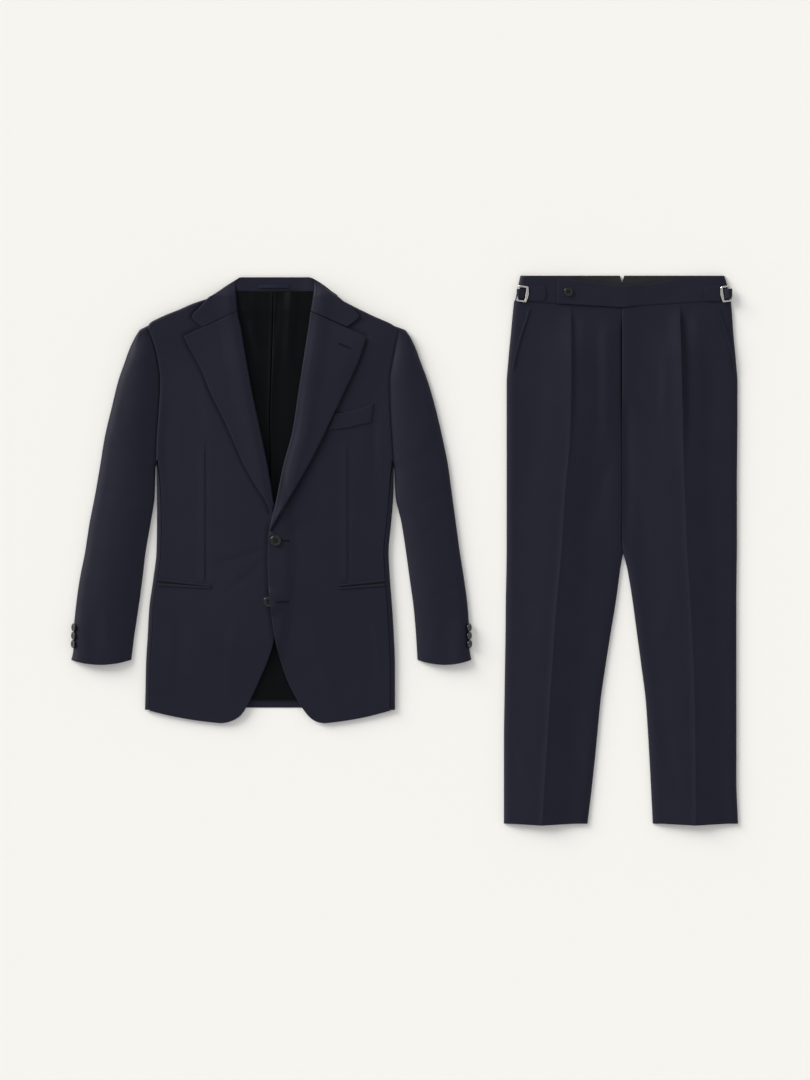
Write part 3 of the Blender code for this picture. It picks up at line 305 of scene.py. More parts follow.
def nickel():
    made, tree, shader = new_material("nickel_plated_brass", Metallic=1.0, Roughness=0.2,
                                      Base_Color=to_linear("#e2dfd8"))
    place = node(tree, "ShaderNodeTexCoord").outputs["Object"]
    rub = node(tree, "ShaderNodeTexNoise", {"Scale": 1 / (RUB_MM * MM), "Detail": 2.0}, {"Vector": place})
    rough = node(tree, "ShaderNodeMapRange", {3: 0.14, 4: 0.3}, {0: rub.outputs["Fac"]})
    tree.links.new(rough.outputs[0], shader.inputs["Roughness"])
    bump = node(tree, "ShaderNodeBump", {"Strength": 0.08, "Distance": 0.00005},
                {"Height": rub.outputs["Fac"]})
    tree.links.new(bump.outputs["Normal"], shader.inputs["Normal"])
    return made


def sewing_thread():
    made, tree, shader = new_material("polyester_thread_navy", Roughness=0.55, IOR=1.5)
    shader.inputs["Specular IOR Level"].default_value = 0.12
    place = node(tree, "ShaderNodeTexCoord").outputs["Object"]
    twist = node(tree, "ShaderNodeTexWave",
                 {"bands_direction": "DIAGONAL", "Scale": bands_scale(TWIST_MM) / 2},
                 {"Vector": place}).outputs["Fac"]
    colour = node(tree, "ShaderNodeMix",
                  {"data_type": "RGBA", 6: to_linear("#09090d"), 7: to_linear("#121219")},
                  {0: twist}).outputs[2]
    tree.links.new(colour, shader.inputs["Base Color"])
    return made


HORN, NICKEL, THREAD = horn(), nickel(), sewing_thread()
print("hard finishes:", [finish.name for finish in (HORN, NICKEL, THREAD)])

# %% [markdown]
# ## Cloth shells
# A cut piece is laid out in rows, each from one edge to the other. At either end a row may turn down in
# a quarter of an ellipse, which is how a folded edge looks from the side; an edge that is only cut stays
# level. The face is a grid of points;
# the underside is the same grid moved in by the cloth's thickness along its normals, and a rim joins
# the two, so each piece is one closed skin like a real cut edge. A fold may take up less than half of
# its row.


# %% Rows of a laid piece
MOST_FOLD = 0.42
CUT_EDGE = (0.5, 0.0)


def lay_rows(start, end, height, fold_a, fold_b, stops, turns=(5, 5), bow=0.0, sink=0.0):
    """Garment points (x, drop, z) of a piece: rows from start to end, each an (x, drop) pair of arrays.

    A fold is how far it reaches across and how far it falls. stops are (fraction, columns) pairs that
    share out the columns between the folds, so that a fine seam can have columns of its own.
    """
    x_a, drop_a, x_b, drop_b, reach_a, fall_a, reach_b, fall_b, bow, sink = np.broadcast_arrays(
        *start, *end, *fold_a, *fold_b, bow, sink)
    width = np.abs(x_b - x_a)
    reach_a, reach_b = np.minimum(reach_a, MOST_FOLD * width), np.minimum(reach_b, MOST_FOLD * width)
    along, falls = [], []
    for k in range(turns[0]):
        angle = 0.5 * pi * k / turns[0]
        along.append(reach_a * (1 - cos(angle)))
        falls.append(fall_a * (1 - sin(angle)))
    span = width - reach_a - reach_b
    done = np.zeros_like(width)
    for stop, count in stops:
        stop = np.clip(np.broadcast_to(stop, width.shape), done, 1.0)
        for k in range(count):
            along.append(reach_a + span * mix(done, stop, k / count))
            falls.append(0.0 * width)
        done = stop
    along.append(reach_a + span)
    falls.append(0.0 * width)
    for k in reversed(range(turns[1])):
        angle = 0.5 * pi * k / turns[1]
        along.append(width - reach_b * (1 - cos(angle)))
        falls.append(fall_b * (1 - sin(angle)))
    along, falls = np.stack(along, axis=1), np.stack(falls, axis=1)
    t = along / width[:, None]
    x = x_a[:, None] + np.sign(x_b - x_a)[:, None] * along
    drop = mix(drop_a[:, None], drop_b[:, None], t) + 4 * bow[:, None] * t * (1 - t)
    return x, drop, height(x, drop) - falls - sink[:, None]


def stop_at(x, start_x, end_x, reach_a, reach_b):
    """Fraction between a row's folds at which it passes x."""
    width = np.abs(end_x - start_x)
    return np.clip((np.abs(x - start_x) - reach_a) / (width - reach_a - reach_b), 0.0, 1.0)


sample_row = lay_rows(([0.0], [0.0]), ([100.0], [0.0]), lambda x, drop: 0 * x,
                      (5.0, 3.0), (5.0, 3.0), [(1.0, 10)])
print("a row of 100 mm has", sample_row[0].shape[1], "points")


# %% One closed shell from a grid
def grid_faces(rows, columns, flip):
    """Faces of a closed shell: a face grid, an underside grid and the rim between them."""
    index = np.arange(rows * columns).reshape(rows, columns)
    under = index + rows * columns
    a, b, c, d = index[:-1, :-1], index[1:, :-1], index[1:, 1:], index[:-1, 1:]
    e, f, g, h = under[:-1, :-1], under[1:, :-1], under[1:, 1:], under[:-1, 1:]
    quads = [np.stack(q, axis=-1).reshape(-1, 4) for q in (
        (a, b, c, d), (e, h, g, f),
        (index[1:, 0], index[:-1, 0], under[:-1, 0], under[1:, 0]),
        (index[:-1, -1], index[1:, -1], under[1:, -1], under[:-1, -1]),
        (index[0, :-1], index[0, 1:], under[0, 1:], under[0, :-1]),
        (index[-1, 1:], index[-1, :-1], under[-1, :-1], under[-1, 1:]))]
    quads = np.concatenate(quads)
    return quads[:, ::-1] if flip else quads


def to_scene(name, mesh, finish):
    """The scene's object for a mesh, with its finish."""
    mesh.materials.append(finish)
    mesh.shade_smooth()
    made = bpy.data.objects.new(name, mesh)
    bpy.context.scene.collection.objects.link(made)
    return made


def finish_piece(made, nodes=()):
    """Every piece rides on the set's one body and stands for its CAD nodes."""
    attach(made, "root")
    if nodes:
        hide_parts(*nodes)
    return made


FLOOR_GAP = 0.00005
SHARP_TURN = radians(55)


def cloth_shell(name, points, thickness, finish, face_up=True, probe=None):
    """A closed cloth shell whose face is the grid of world points. probe is the column whose normal
    says which way the face looks."""
    rows, columns = points.shape[:2]
    normals = np.cross(np.gradient(points, axis=0), np.gradient(points, axis=1))
    normals /= np.maximum(np.linalg.norm(normals, axis=-1, keepdims=True), 1e-15)
    middle = columns // 2 if probe is None else probe
    flip = (normals[:, middle, 2].mean() > 0) != face_up
    if flip:
        normals = -normals
    under = points - normals * thickness * MM
    lowest = FLOOR_GAP if points[..., 2].min() > FLOOR_GAP else 0.0
    under[..., 2] = np.maximum(under[..., 2], lowest)
    mesh = bpy.data.meshes.new(name)
    corners = np.concatenate([points.reshape(-1, 3), under.reshape(-1, 3)])
    mesh.from_pydata(corners.tolist(), [], grid_faces(rows, columns, flip).tolist())
    made = to_scene(name, mesh, finish)
    mesh.set_sharp_from_angle(angle=SHARP_TURN)
    return made


# No side of a cut is counted as under 10 mm, and no cut's area as under 0.3 of its rectangle; both
# bounds are set a little above these. The frame takes no side of a cut under 10 mm and no cut under 0.3
# of its rectangle.
LEAST_CUT, LEAST_SHARE, HAIR = 0.0101, 0.31, 0.0002
sizes = []


def declare_sheet(made, points):
    """Records a piece's cut size, measured along its own grid, in the list of sizes printed at the end."""
    across = np.linalg.norm(np.diff(points, axis=1), axis=-1).sum(axis=1).max()
    down = np.linalg.norm(np.diff(points, axis=0), axis=-1).sum(axis=0).max()
    sides = np.cross(points[1:, :-1] - points[:-1, :-1], points[:-1, 1:] - points[:-1, :-1])
    far = np.cross(points[1:, :-1] - points[1:, 1:], points[:-1, 1:] - points[1:, 1:])
    area = (np.linalg.norm(sides, axis=-1).sum() + np.linalg.norm(far, axis=-1).sum()) / 2
    across, down = max(across, LEAST_CUT), max(down, LEAST_CUT)
    area = min(max(area, LEAST_SHARE * across * down), across * down)
    sizes.append((made.name, across, down, area))


def lay_piece(name, centre_x, grid, thickness, finish, nodes,
              face_up=True, probe=None):
    """A cut piece made from its grid of garment points, laid in its place, with its cut's size recorded."""
    points = to_world(centre_x, *grid)
    made = cloth_shell(name, points, thickness, finish, face_up, probe)
    finish_piece(made, nodes)
    declare_sheet(made, points)
    print(name, len(made.data.polygons), "faces")
    return made


print("a shell of 3 x 3 points has", len(grid_faces(3, 3, False)), "faces")

# %% [markdown]
# ## Creases
# Pressed cloth still holds soft, uneven creases. Each is given as a line with a half width on
# either side and a height that swells and fades along it: a trough is negative, a ridge positive. One
# steep side and one gentle side is how a fold of cloth that has been lain on looks.


# %% Listed creases
BEND = 0.04
FADE_IN, FADE_OUT = 0.3, 0.45


def creases(table, x, drop):
    """Height of all the creases in the table at each point.

    A row is x and drop of both ends, the half widths before and after the line, and its height. A crease
    bends a little, by a share of its length, and it fades in sooner than it fades out.
    """
    height = np.zeros_like(x)
    for k, (x0, d0, x1, d1, before, after, rise) in enumerate(table):
        length = hypot(x1 - x0, d1 - d0)
        along = ((x - x0) * (x1 - x0) + (drop - d0) * (d1 - d0)) / length
        away = ((x - x0) * (d1 - d0) - (drop - d0) * (x1 - x0)) / length
        t = along / length
        bend = BEND * length * (np.sin(pi * np.clip(t, 0, 1) + 0.7 * k) - sin(0.7 * k))
        away = away - bend
        half = np.where(away < 0, before, after)
        swell = smooth(t / FADE_IN) * smooth((1 - t) / FADE_OUT) * (0.85 + 0.15 * np.sin(9 * t + 2.1 * k))
        height += rise * swell * smooth(1 - np.abs(away) / half)
    return height


def drape(x, drop, amount, phase):
    """The slow rise and fall of cloth that lies loosely, the same each time."""
    return amount * (np.sin(x / 47 + drop / 133 + phase) + 0.6 * np.sin(x / 83 - drop / 71 + 2 * phase)
                     + 0.4 * np.sin(drop / 39 - x / 151 + 3 * phase)) / 2


SAMPLE_CREASE = ((0, 0, 0, 100, 5, 9, -1.0),)
print("a crease at its middle", creases(SAMPLE_CREASE, np.array([0.0]), np.array([50.0])).round(2))

# %% [markdown]
# ## Jacket edges
# The jacket's outline is measured down both sides: the front edge from the collar over the roll of the
# lapel, which ends just above the top button, to the cutaway hem; the shoulder; the armhole with its
# sleeve; and the side fold, with how far the cloth reaches inwards over and under it.

# %% Edge tables of the jacket
FRONT_TOP, FRONT_HEM = 43.0, 816.4
ROLL_END = 474.0
CENTRE_EDGE = (
    # drop, right_x, left_x
    (4, -55, 71.5), (18, -63.5, 79), (45, -62, 76), (72, -59.5, 71.5), (98, -53.7, 68), (124, -49.5, 64),
    (170, -41.5, 57), (215, -33, 50), (286, -18, 39), (346, -5.5, 23), (412, 6, 9.5), (469, 17, -3),
    (512, 20, -5), (556, 19, -4), (600, 16, -0.5), (638, 11, 4), (663, 7, 8), (701, -5, 17.5),
    (739, -21, 30.5), (775, -38, 49), (802, -54.5, 67.5), (811, -68, 78), (814.8, -79, 87.5),
    (816.4, -89, 97.5),
)
SHOULDER = (
    # drop, right_x, left_x
    (31, -88, 101), (41, -108, 119), (53, -142, 141), (65, -170, 165), (75, -195, 186), (89, -220, 217),
    (100, -225, 234),
)
SLEEVE_EDGES = (
    # drop, right_outer_x, right_inner_x, left_inner_x, left_outer_x
    (101, -239, -223, 234, 245), (116, -248, -217, 231, 255), (135, -257, -211, 227, 264),
    (160, -266, -206, 222, 273), (195, -278, -202, 217, 286), (240, -289, -204, 218, 299),
    (295, -302, -208, 221, 312), (350, -311, -210, 224.5, 323), (402, -320, -211.5, 227, 330),
    (453, -330, -219, 238, 337), (505, -338, -228, 246, 344), (556, -348, -234, 253, 352),
    (607, -355, -241, 260, 358.5), (640, -358, -246, 263, 360.5), (660, -358.5, -249, 264.5, 361),
    (685, -359.5, -252, 266, 362), (701, -363, -254, 267, 365),
)
SIDE_FOLD = (
    # drop, right_x, left_x, over, under
    (345, -208, 223.5, 1, 12), (375, -207.5, 223.5, 5, 38), (410, -207, 222.5, 7, 55),
    (453, -207, 219, 8, 60), (505, -208, 214.5, 8, 60), (556, -214, 217, 8, 60), (607, -221, 221, 8, 60),
    (658, -224, 224, 8, 60), (709, -227, 226, 8, 60), (760, -228, 226, 8, 60), (792, -229, 226, 8, 60),
)
SEAM = 0.3
BODY_CLOTH = 2.0
SIDE_REACH = 9.0
UNDERARM_DROP = 340.0
SHOULDER_END = 100.0


def centre_edge(side, drop):
    return by_side(side, *read_table(CENTRE_EDGE, drop))


def armhole(side, drop):
    return by_side(side, *read_table(SLEEVE_EDGES, drop)[1:3])


def side_fold(side, drop):
    return by_side(side, *read_table(SIDE_FOLD, drop)[:2])


def body_outer(side, drop):
    """Outer edge of a front: shoulder line, armhole seam, then the side panel's seam."""
    sign = sign_of(side)
    over = read_table(SIDE_FOLD, drop)[2]
    below = side_fold(side, drop) - sign * (over + BODY_CLOTH * (1 - over / SIDE_REACH) + 2 * SEAM)
    beside = armhole(side, drop) - sign * 2 * SEAM
    above = by_side(side, *read_table(SHOULDER, drop))
    return np.where(drop < SHOULDER_END, above, np.where(drop < UNDERARM_DROP, beside, below))


chest_right, chest_left = (float(body_outer(side, np.array(345.0))) for side in SIDES)
print("chest width at the underarm", round(chest_left - chest_right, 1), "mm")

# %% [markdown]
# ## Heights
# Laid flat, the jacket is a stack: the back with its lining, the fronts over it, the lapels and the
# collar over those. Height functions say how high each layer's face lies, so a lapel always rests on
# the front below it. The shoulders are padded, and the left front climbs over the right one's edge.

# %% Heights of the layers
FRONT_CLOTH = 3.0
LAPEL_CLOTH = 2.2
LINING_CLOTH = 1.2
BODY_HEIGHT = 8.6
COLLAR_LIFT = 2.3
LOWER_BUTTON, UPPER_BUTTON = (-3.0, 595.0), (9.5, 484.0)
BUTTON_BUMP, DART_STEP = 4.2, 0.7
CHEST_DOME = 4.4
BODY_CREASES = (
    # x0, drop0, x1, drop1, before, after, rise
    (6, 492, -120, 528, 9, 16, -0.7), (4, 500, -92, 596, 10, 16, -0.6), (14, 490, 110, 520, 16, 10, -0.5),
    (20, 480, 96, 430, 12, 16, -0.5), (-183, 205, -176, 420, 16, 26, -1.0),
    (196, 215, 190, 430, 24, 14, -1.0), (-60, 620, -90, 800, 18, 26, 0.8), (72, 630, 110, 806, 26, 18, 0.8),
    (-170, 590, -186, 780, 16, 24, -0.7), (168, 600, 186, 784, 22, 14, -0.7),
    (-130, 180, -96, 330, 20, 34, 0.8), (150, 120, 120, 240, 24, 18, 0.6),
)
DART_TOP, DART_END = 300.0, 562.0
DART_X = {"right": -120.5, "left": 138.0}


def shoulder_pad(x, drop):
    return 3.0 * smooth((np.abs(x - 4) - 90) / 110) * smooth((190 - drop) / 90)


def collar_lift(x, drop):
    return COLLAR_LIFT * smooth((85 - drop) / 22) * smooth((178 - np.abs(x - 9)) / 22)


def overlap_lift(x, drop):
    return (FRONT_CLOTH + SEAM) * smooth(1 - (x - centre_edge("right", drop) - 4.0) / 25.0)


def button_bump(x, drop):
    away = np.hypot(x - LOWER_BUTTON[0], drop - LOWER_BUTTON[1])
    return BUTTON_BUMP * smooth((30.0 - away) / 16.0)


def dart(side, x, drop):
    """The sewn line of a dart: its allowance is pressed to one side, so the cloth steps down past it."""
    t = (drop - DART_TOP) / (DART_END - DART_TOP)
    strength = smooth(t / 0.12) * smooth((1.0 - t) / 0.04)
    away = x - DART_X[side]
    padded = DART_STEP * smooth(1 + away / 16.0)
    sunk = DART_STEP * (1 - smooth(away / 1.6)) - 0.6 * smooth(away / 1.6) * smooth(1 - away / 14.0)
    return strength * np.where(away < 0, padded, sunk)


def front_height(side):
    def height(x, drop):
        z = BODY_HEIGHT + shoulder_pad(x, drop) + 0.5 * collar_lift(x, drop)
        z = z - smooth((drop - 640) / 150) + creases(BODY_CREASES, x, drop) + drape(x, drop, 0.35, 1.0)
        down = smooth((drop - 90) / 90) * smooth((760 - drop) / 120)
        z = z + CHEST_DOME * smooth((212 - np.abs(x - 8)) / 170) * down
        if side == "left":
            z = z + overlap_lift(x, drop) + button_bump(x, drop)
        return z
    return height


def height_at(height, x, drop):
    """One height, as a plain number."""
    return float(height(np.array([x]), np.array([drop]))[0])


print("front height at the chest", round(height_at(front_height("right"), -100.0, 300.0), 2), "mm")

# %% [markdown]
# ## Fronts
# Each front runs from the shoulder to a rounded cutaway hem. Its inner edge is hidden under the lapel
# down to the top button, then it is the jacket's own edge. A dart shapes the waist: it is modelled as a
# true sewn trough, because a line in the colour alone would not catch the light. Where a lapel or the
# collar presses on the front, the cloth dips beside its edge, so their outlines are needed here already.

# %% Outlines of fronts, lapels and collar
FRONT_ROWS = (
    # inner_drop, outer_drop
    (43, 43), (345, 345), (376, 375), (413, 410), (434, 431), (457, 453), (508, 505), (545, 542),
    (574, 570), (594, 588), (614, 606), (640, 629), (668, 655), (701, 684), (739, 714), (775, 743),
    (802, 768), (811, 784), (814.8, 790.6), (816.4, 793.5),
)
LAPEL_ROWS = (
    # roll_drop, right_x, right_drop, left_x, left_drop
    (67.5, -157, 113, 174, 114), (88, -150, 129, 169, 131), (112, -138, 150, 161, 154),
    (145, -124, 177, 148, 184), (185, -108, 217, 133, 215), (230, -87, 259, 113, 258),
    (275, -71, 294, 93, 300),
    (320, -50, 342, 72, 341), (362, -28, 382, 52, 376), (400, -9, 411, 31, 412),
)
RIGHT_LAPEL_END = ((420, -3.5, 423), (434, 0, 434))
LEFT_LAPEL_END = ((430, 14, 440), (452, 4, 458), (465, -0.5, 467))
COLLAR_ROWS = (
    # roll_drop, right_x, right_drop, left_x, left_drop
    (6, -60, 7.5, 77, 9.5), (14, -75, 16.5, 93, 19), (24, -92, 28, 107, 29.5), (33, -103, 35.5, 118, 37),
    (42, -113, 42.5, 130, 47), (51, -128, 60, 146, 61), (58, -142.5, 77, 161, 76),
    (66.5, -124.5, 96.5, 139.5, 95.5),
)
EDGE_DIP, EDGE_DIP_REACH = 1.5, 8.0
EDGE_REACH = 1.3
FRONT_HEM_ROLL = (0.0, 2.0)
print("lapel outlines have", len(LAPEL_ROWS), "points, collar outlines", len(COLLAR_ROWS))


# %% Fronts
def away_from_line(x, drop, line):
    """Distance of each point from a line through garment points."""
    nearest = np.full(np.shape(x), 1e9)
    for (x0, d0), (x1, d1) in zip(line, line[1:]):
        length = max((x1 - x0) ** 2 + (d1 - d0) ** 2, 1e-9)
        t = np.clip(((x - x0) * (x1 - x0) + (drop - d0) * (d1 - d0)) / length, 0, 1)
        nearest = np.minimum(nearest, np.hypot(x - x0 - t * (x1 - x0), drop - d0 - t * (d1 - d0)))
    return nearest


def side_rows(table, side):
    """One side's rows of an outline table: roll_drop, x and drop."""
    return [(roll, *by_side(side, (rx, rd), (lx, ld))) for roll, rx, rd, lx, ld in table]


def lapel_rows(side):
    """One side's lapel outline from the collar to the foot of its roll."""
    return side_rows(LAPEL_ROWS, side) + list(by_side(side, RIGHT_LAPEL_END, LEFT_LAPEL_END))


def edge_dip(side, x, drop):
    """The front dips beside the lapel's and the collar's edges, and beside the other front's edge."""
    line = [(x0, drop0) for _, x0, drop0 in side_rows(COLLAR_ROWS, side)[3:] + lapel_rows(side)]
    dip = smooth(1 - away_from_line(x, drop, line) / EDGE_DIP_REACH)
    if side == "right":
        beside = smooth(1 - np.abs(x - centre_edge("left", drop)) / 7.0)
        dip = np.maximum(dip, 0.8 * beside * smooth((drop - 446) / 20) * smooth((700 - drop) / 30))
    return EDGE_DIP * dip


def height_with_dart(side):
    """The front's face with its dart sewn in and its dips pressed in."""
    below = front_height(side)
    return lambda x, drop: below(x, drop) + dart(side, x, drop) - edge_dip(side, x, drop)


def front_grid(side):
    """Rows of one front from shoulder to hem, rolled under at both edges, with the dart on one column."""
    sign = sign_of(side)
    keys = row_keys(FRONT_TOP, FRONT_HEM, 2.8, FRONT_HEM_ROLL)
    outer_drop = read_table(FRONT_ROWS, keys)[0]
    height = front_height(side)
    under_lapel = smooth((ROLL_END - keys) / 14)
    inner_x = centre_edge(side, keys) + sign * (LAPEL_CLOTH + 3 * SEAM) * under_lapel
    outer_x = body_outer(side, outer_drop)
    landing = BODY_CLOTH + 2 * SEAM + collar_lift(outer_x, outer_drop)
    at_shoulder = smooth((92 - outer_drop) / 10)
    at_side = smooth((outer_drop - 334) / 16)
    fall = mix(mix(3.0, 0.5, at_side), height(outer_x, outer_drop) - landing, at_shoulder)
    reach = mix(mix(4.5, 1.8, at_side), 10.0, at_shoulder)
    stops = stop_at(DART_X[side], inner_x, outer_x, EDGE_REACH, reach)
    groove = 6.0 / np.abs(outer_x - inner_x)
    return lay_rows((inner_x, keys), (outer_x, outer_drop), height_with_dart(side),
                    (EDGE_REACH, mix(1.0, 2.6, under_lapel)), (reach, fall),
                    [(stops - groove, 40), (stops + groove, 14), (1.0, 24)],
                    bow=3.2 * smooth((keys - 790) / 20), sink=roll_sink(keys, FRONT_HEM_ROLL))


for side in SIDES:
    lay_piece(side + "_front_cloth", JACKET_X, front_grid(side), 1.6, WOOL, [side + "_front"])

# %% [markdown]
# ## Side panels
# A jacket's side panel joins the front to the back. Lying flat, the cloth turns round the side fold, so
# the panel is a strip that starts on top, goes round the edge and runs back along the underside.

# %% Side panels
SIDE_TOP, SIDE_HEM = 340.4, 792.0
SIDE_TURNS, UNDER_COLUMNS = 18, 8


def side_height(drop):
    return BODY_HEIGHT - smooth((drop - 640) / 150)


def side_grid(side):
    sign = sign_of(side)
    keys = row_keys(SIDE_TOP, SIDE_HEM, 5.0)
    fold, over, under = side_fold(side, keys), *read_table(SIDE_FOLD, keys)[2:4]
    half = side_height(keys) / 2
    start = np.arccos(np.clip(over / SIDE_REACH - 1, -1, 1))
    columns = []
    for k in range(SIDE_TURNS + 1):
        angle = mix(start, 1.5 * pi, k / SIDE_TURNS)
        columns.append((fold - sign * SIDE_REACH * (1 + np.cos(angle)), half * (1 + np.sin(angle))))
    for k in range(1, UNDER_COLUMNS + 1):
        columns.append((fold - sign * mix(SIDE_REACH, under, k / UNDER_COLUMNS), 0.0 * keys))
    x = np.stack([c[0] for c in columns], axis=1)
    z = np.stack([c[1] for c in columns], axis=1)
    return x, np.repeat(keys[:, None], x.shape[1], axis=1), z


for side in SIDES:
    lay_piece(side + "_side_cloth", JACKET_X, side_grid(side), 1.4, WOOL, [side + "_side_panel"],
              probe=0)

# %% [markdown]
# ## Back and its lining
# The back lies on the surface, flat where it rests, with slight hollows where the cloth does not quite
# touch. Its two halves meet in the centre seam. Inside, the lining has a pleat down the middle for ease
# and soft diagonal folds, which its silky gloss turns into streaks of light.

# %% Backs
BACK_TOP, BACK_HEM, CENTRE_SEAM_X = 31.2, 788.0, 1.0
BACK_CREASES = (
    # x0, drop0, x1, drop1, before, after, rise
    (-160, 200, -60, 300, 20, 30, 0.9), (-130, 420, -30, 470, 18, 26, 0.8),
    (-150, 620, -90, 770, 24, 20, 0.8), (60, 180, 165, 310, 26, 20, 0.9),
    (30, 500, 130, 440, 20, 26, 0.7), (90, 600, 140, 770, 20, 26, 0.8),
)


def back_outer(side, drop):
    sign = sign_of(side)
    under = read_table(SIDE_FOLD, drop)[3]
    above = by_side(side, *read_table(SHOULDER, drop))
    beside = armhole(side, drop) - sign * 2 * SEAM
    below = side_fold(side, drop) - sign * (under + SEAM)
    return np.where(drop < SHOULDER_END, above, np.where(drop < UNDERARM_DROP, beside, below))


def back_hollows(x, drop):
    """How far the underside stands off the surface."""
    seam = 0.5 * smooth(1 - np.abs(x - CENTRE_SEAM_X) / 2.5)
    away = smooth((drop - 100) / 60) * smooth((770 - drop) / 30)
    return collar_lift(x, drop) + away * (np.maximum(creases(BACK_CREASES, x, drop), 0) + seam)


for side in SIDES:
    sign = sign_of(side)
    keys = row_keys(BACK_TOP, BACK_HEM, 6.0)
    grid = lay_rows((CENTRE_SEAM_X + sign * 0.02 + 0 * keys, keys), (back_outer(side, keys), keys),
                    back_hollows, CUT_EDGE, CUT_EDGE, [(0.03, 4), (1.0, 22)], turns=(1, 1))
    lay_piece(side + "_back_cloth", JACKET_X, grid, 1.0, WOOL, [side + "_back"],
              face_up=False)

# %% Back lining
LINING_TOP, LINING_END = 32.0, 774.0
LINING_CREASES = (
    # x0, drop0, x1, drop1, before, after, rise
    (-62, 20, -18, 190, 12, 16, 2.2), (-52, 120, -8, 330, 12, 16, 2.0), (20, 20, 18, 230, 9, 14, 1.6),
    (45, -40, 50, 190, 17, 17, 5.0), (-30, 20, -22, 130, 12, 12, 1.4),
    (-20, 730, 40, 775, 8, 12, 1.0), (-36, 752, 10, 742, 7, 10, 0.8), (30, 700, 6, 764, 8, 10, 0.8),
)


def pleat_line(drop):
    """The pleat leans a little towards the wearer's right on its way down."""
    return np.maximum(6 - 0.03 * drop, -2.0)


def lining_height(x, drop):
    line = pleat_line(drop)
    pleat = 1.3 * smooth(1 - np.abs(x - line - 1.5) / 9.0) * smooth((700 - drop) / 120)
    groove = -2.3 * smooth(1 - np.abs(x - line) / 2.2) * smooth((drop - 34) / 6)
    groove = groove * smooth((700 - drop) / 120)
    second = -0.6 * smooth(1 - np.abs(x - 47.7 + 0.02 * drop) / 1.2) * smooth((260 - drop) / 60)
    base = BODY_CLOTH + SEAM + LINING_CLOTH + collar_lift(x, drop)
    return base + pleat + groove + second + creases(LINING_CREASES, x, drop)


keys = row_keys(LINING_TOP, LINING_END, 4.0)
wider = smooth((keys - SHOULDER_END) / 120)
right_x = mix(centre_edge("right", np.minimum(keys, SHOULDER_END)) - 14, -180, wider)
left_x = mix(centre_edge("left", np.minimum(keys, SHOULDER_END)) + 14, 190, wider)
middle = stop_at(pleat_line(keys), right_x, left_x, 0.5, 0.5)
groove = 6.0 / (left_x - right_x)
grid = lay_rows((right_x, keys), (left_x, keys), lining_height, CUT_EDGE, CUT_EDGE,
                [(middle - groove, 34), (middle + groove, 14), (1.0, 40)], turns=(1, 1))
lay_piece("back_lining_cloth", JACKET_X, grid, 0.6, LINING, ["back_lining"])

# %% [markdown]
# ## Sleeves
# A sleeve is two pieces sewn along both folds. The upper one is domed, because the sleeve's seams and
# its canvas head hold it off the table; it dips where it meets the armhole, so the body's edge shades
# it. The cuff sags in a shallow curve.

# %% Sleeves
SLEEVE_TOP, CUFF_END = 101.0, 701.0
SLEEVE_HEIGHT, CUFF_HEIGHT = 8.6, 10.4
SLEEVE_DOME, ARMHOLE_FALL = {"right": 7.4, "left": 4.6}, {"right": 8.0, "left": 3.8}
UNDER_CLOTH = 2.4
HEAD_SLANT, TUCK, CUFF_BOW = 12.0, 5.0, 9.0
SLEEVE_ROLL = (9.0, 1.6)
SLEEVE_CREASES = (
    # x0, drop0, x1, drop1, before, after, rise
    (-318, 392, -238, 420, 12, 18, -0.5), (-326, 430, -250, 470, 10, 18, -0.5),
    (-296, 300, -226, 352, 14, 20, -0.5), (-300, 200, -252, 330, 16, 26, 0.9),
    (-345, 560, -280, 590, 12, 16, -0.7), (-300, 600, -290, 700, 14, 20, 0.6),
    (334, 392, 250, 424, 18, 12, -0.5), (340, 440, 262, 474, 18, 10, -0.5),
    (312, 300, 240, 350, 20, 14, -0.5), (300, 190, 268, 330, 26, 16, 0.9),
    (354, 560, 290, 594, 16, 12, -0.7), (306, 610, 300, 700, 20, 14, 0.6),
)


def cuff_rise(x, drop):
    return (CUFF_HEIGHT - SLEEVE_HEIGHT) * smooth((drop - 600) / 50) * smooth((np.abs(x - 2) - 318) / 25)


def cuff_bow(drop):
    return CUFF_BOW * smooth((drop - 640) / 60)


def sleeve_edges(side, drop):
    edges = read_table(SLEEVE_EDGES, drop)
    return (edges[0], edges[1]) if side == "right" else (edges[3], edges[2])


def sleeve_height(side):
    def height(x, drop):
        outer_x, inner_x = sleeve_edges(side, drop)
        t = np.clip((x - outer_x) / (inner_x - outer_x), 0, 1)
        dome = SLEEVE_DOME[side] * np.sin(pi * t) * smooth((drop - 100) / 60)
        z = SLEEVE_HEIGHT + 0.8 * shoulder_pad(x, drop) + cuff_rise(x, drop)
        return z + dome * (1 - 0.4 * smooth((drop - 560) / 100)) + creases(SLEEVE_CREASES, x, drop)
    return height


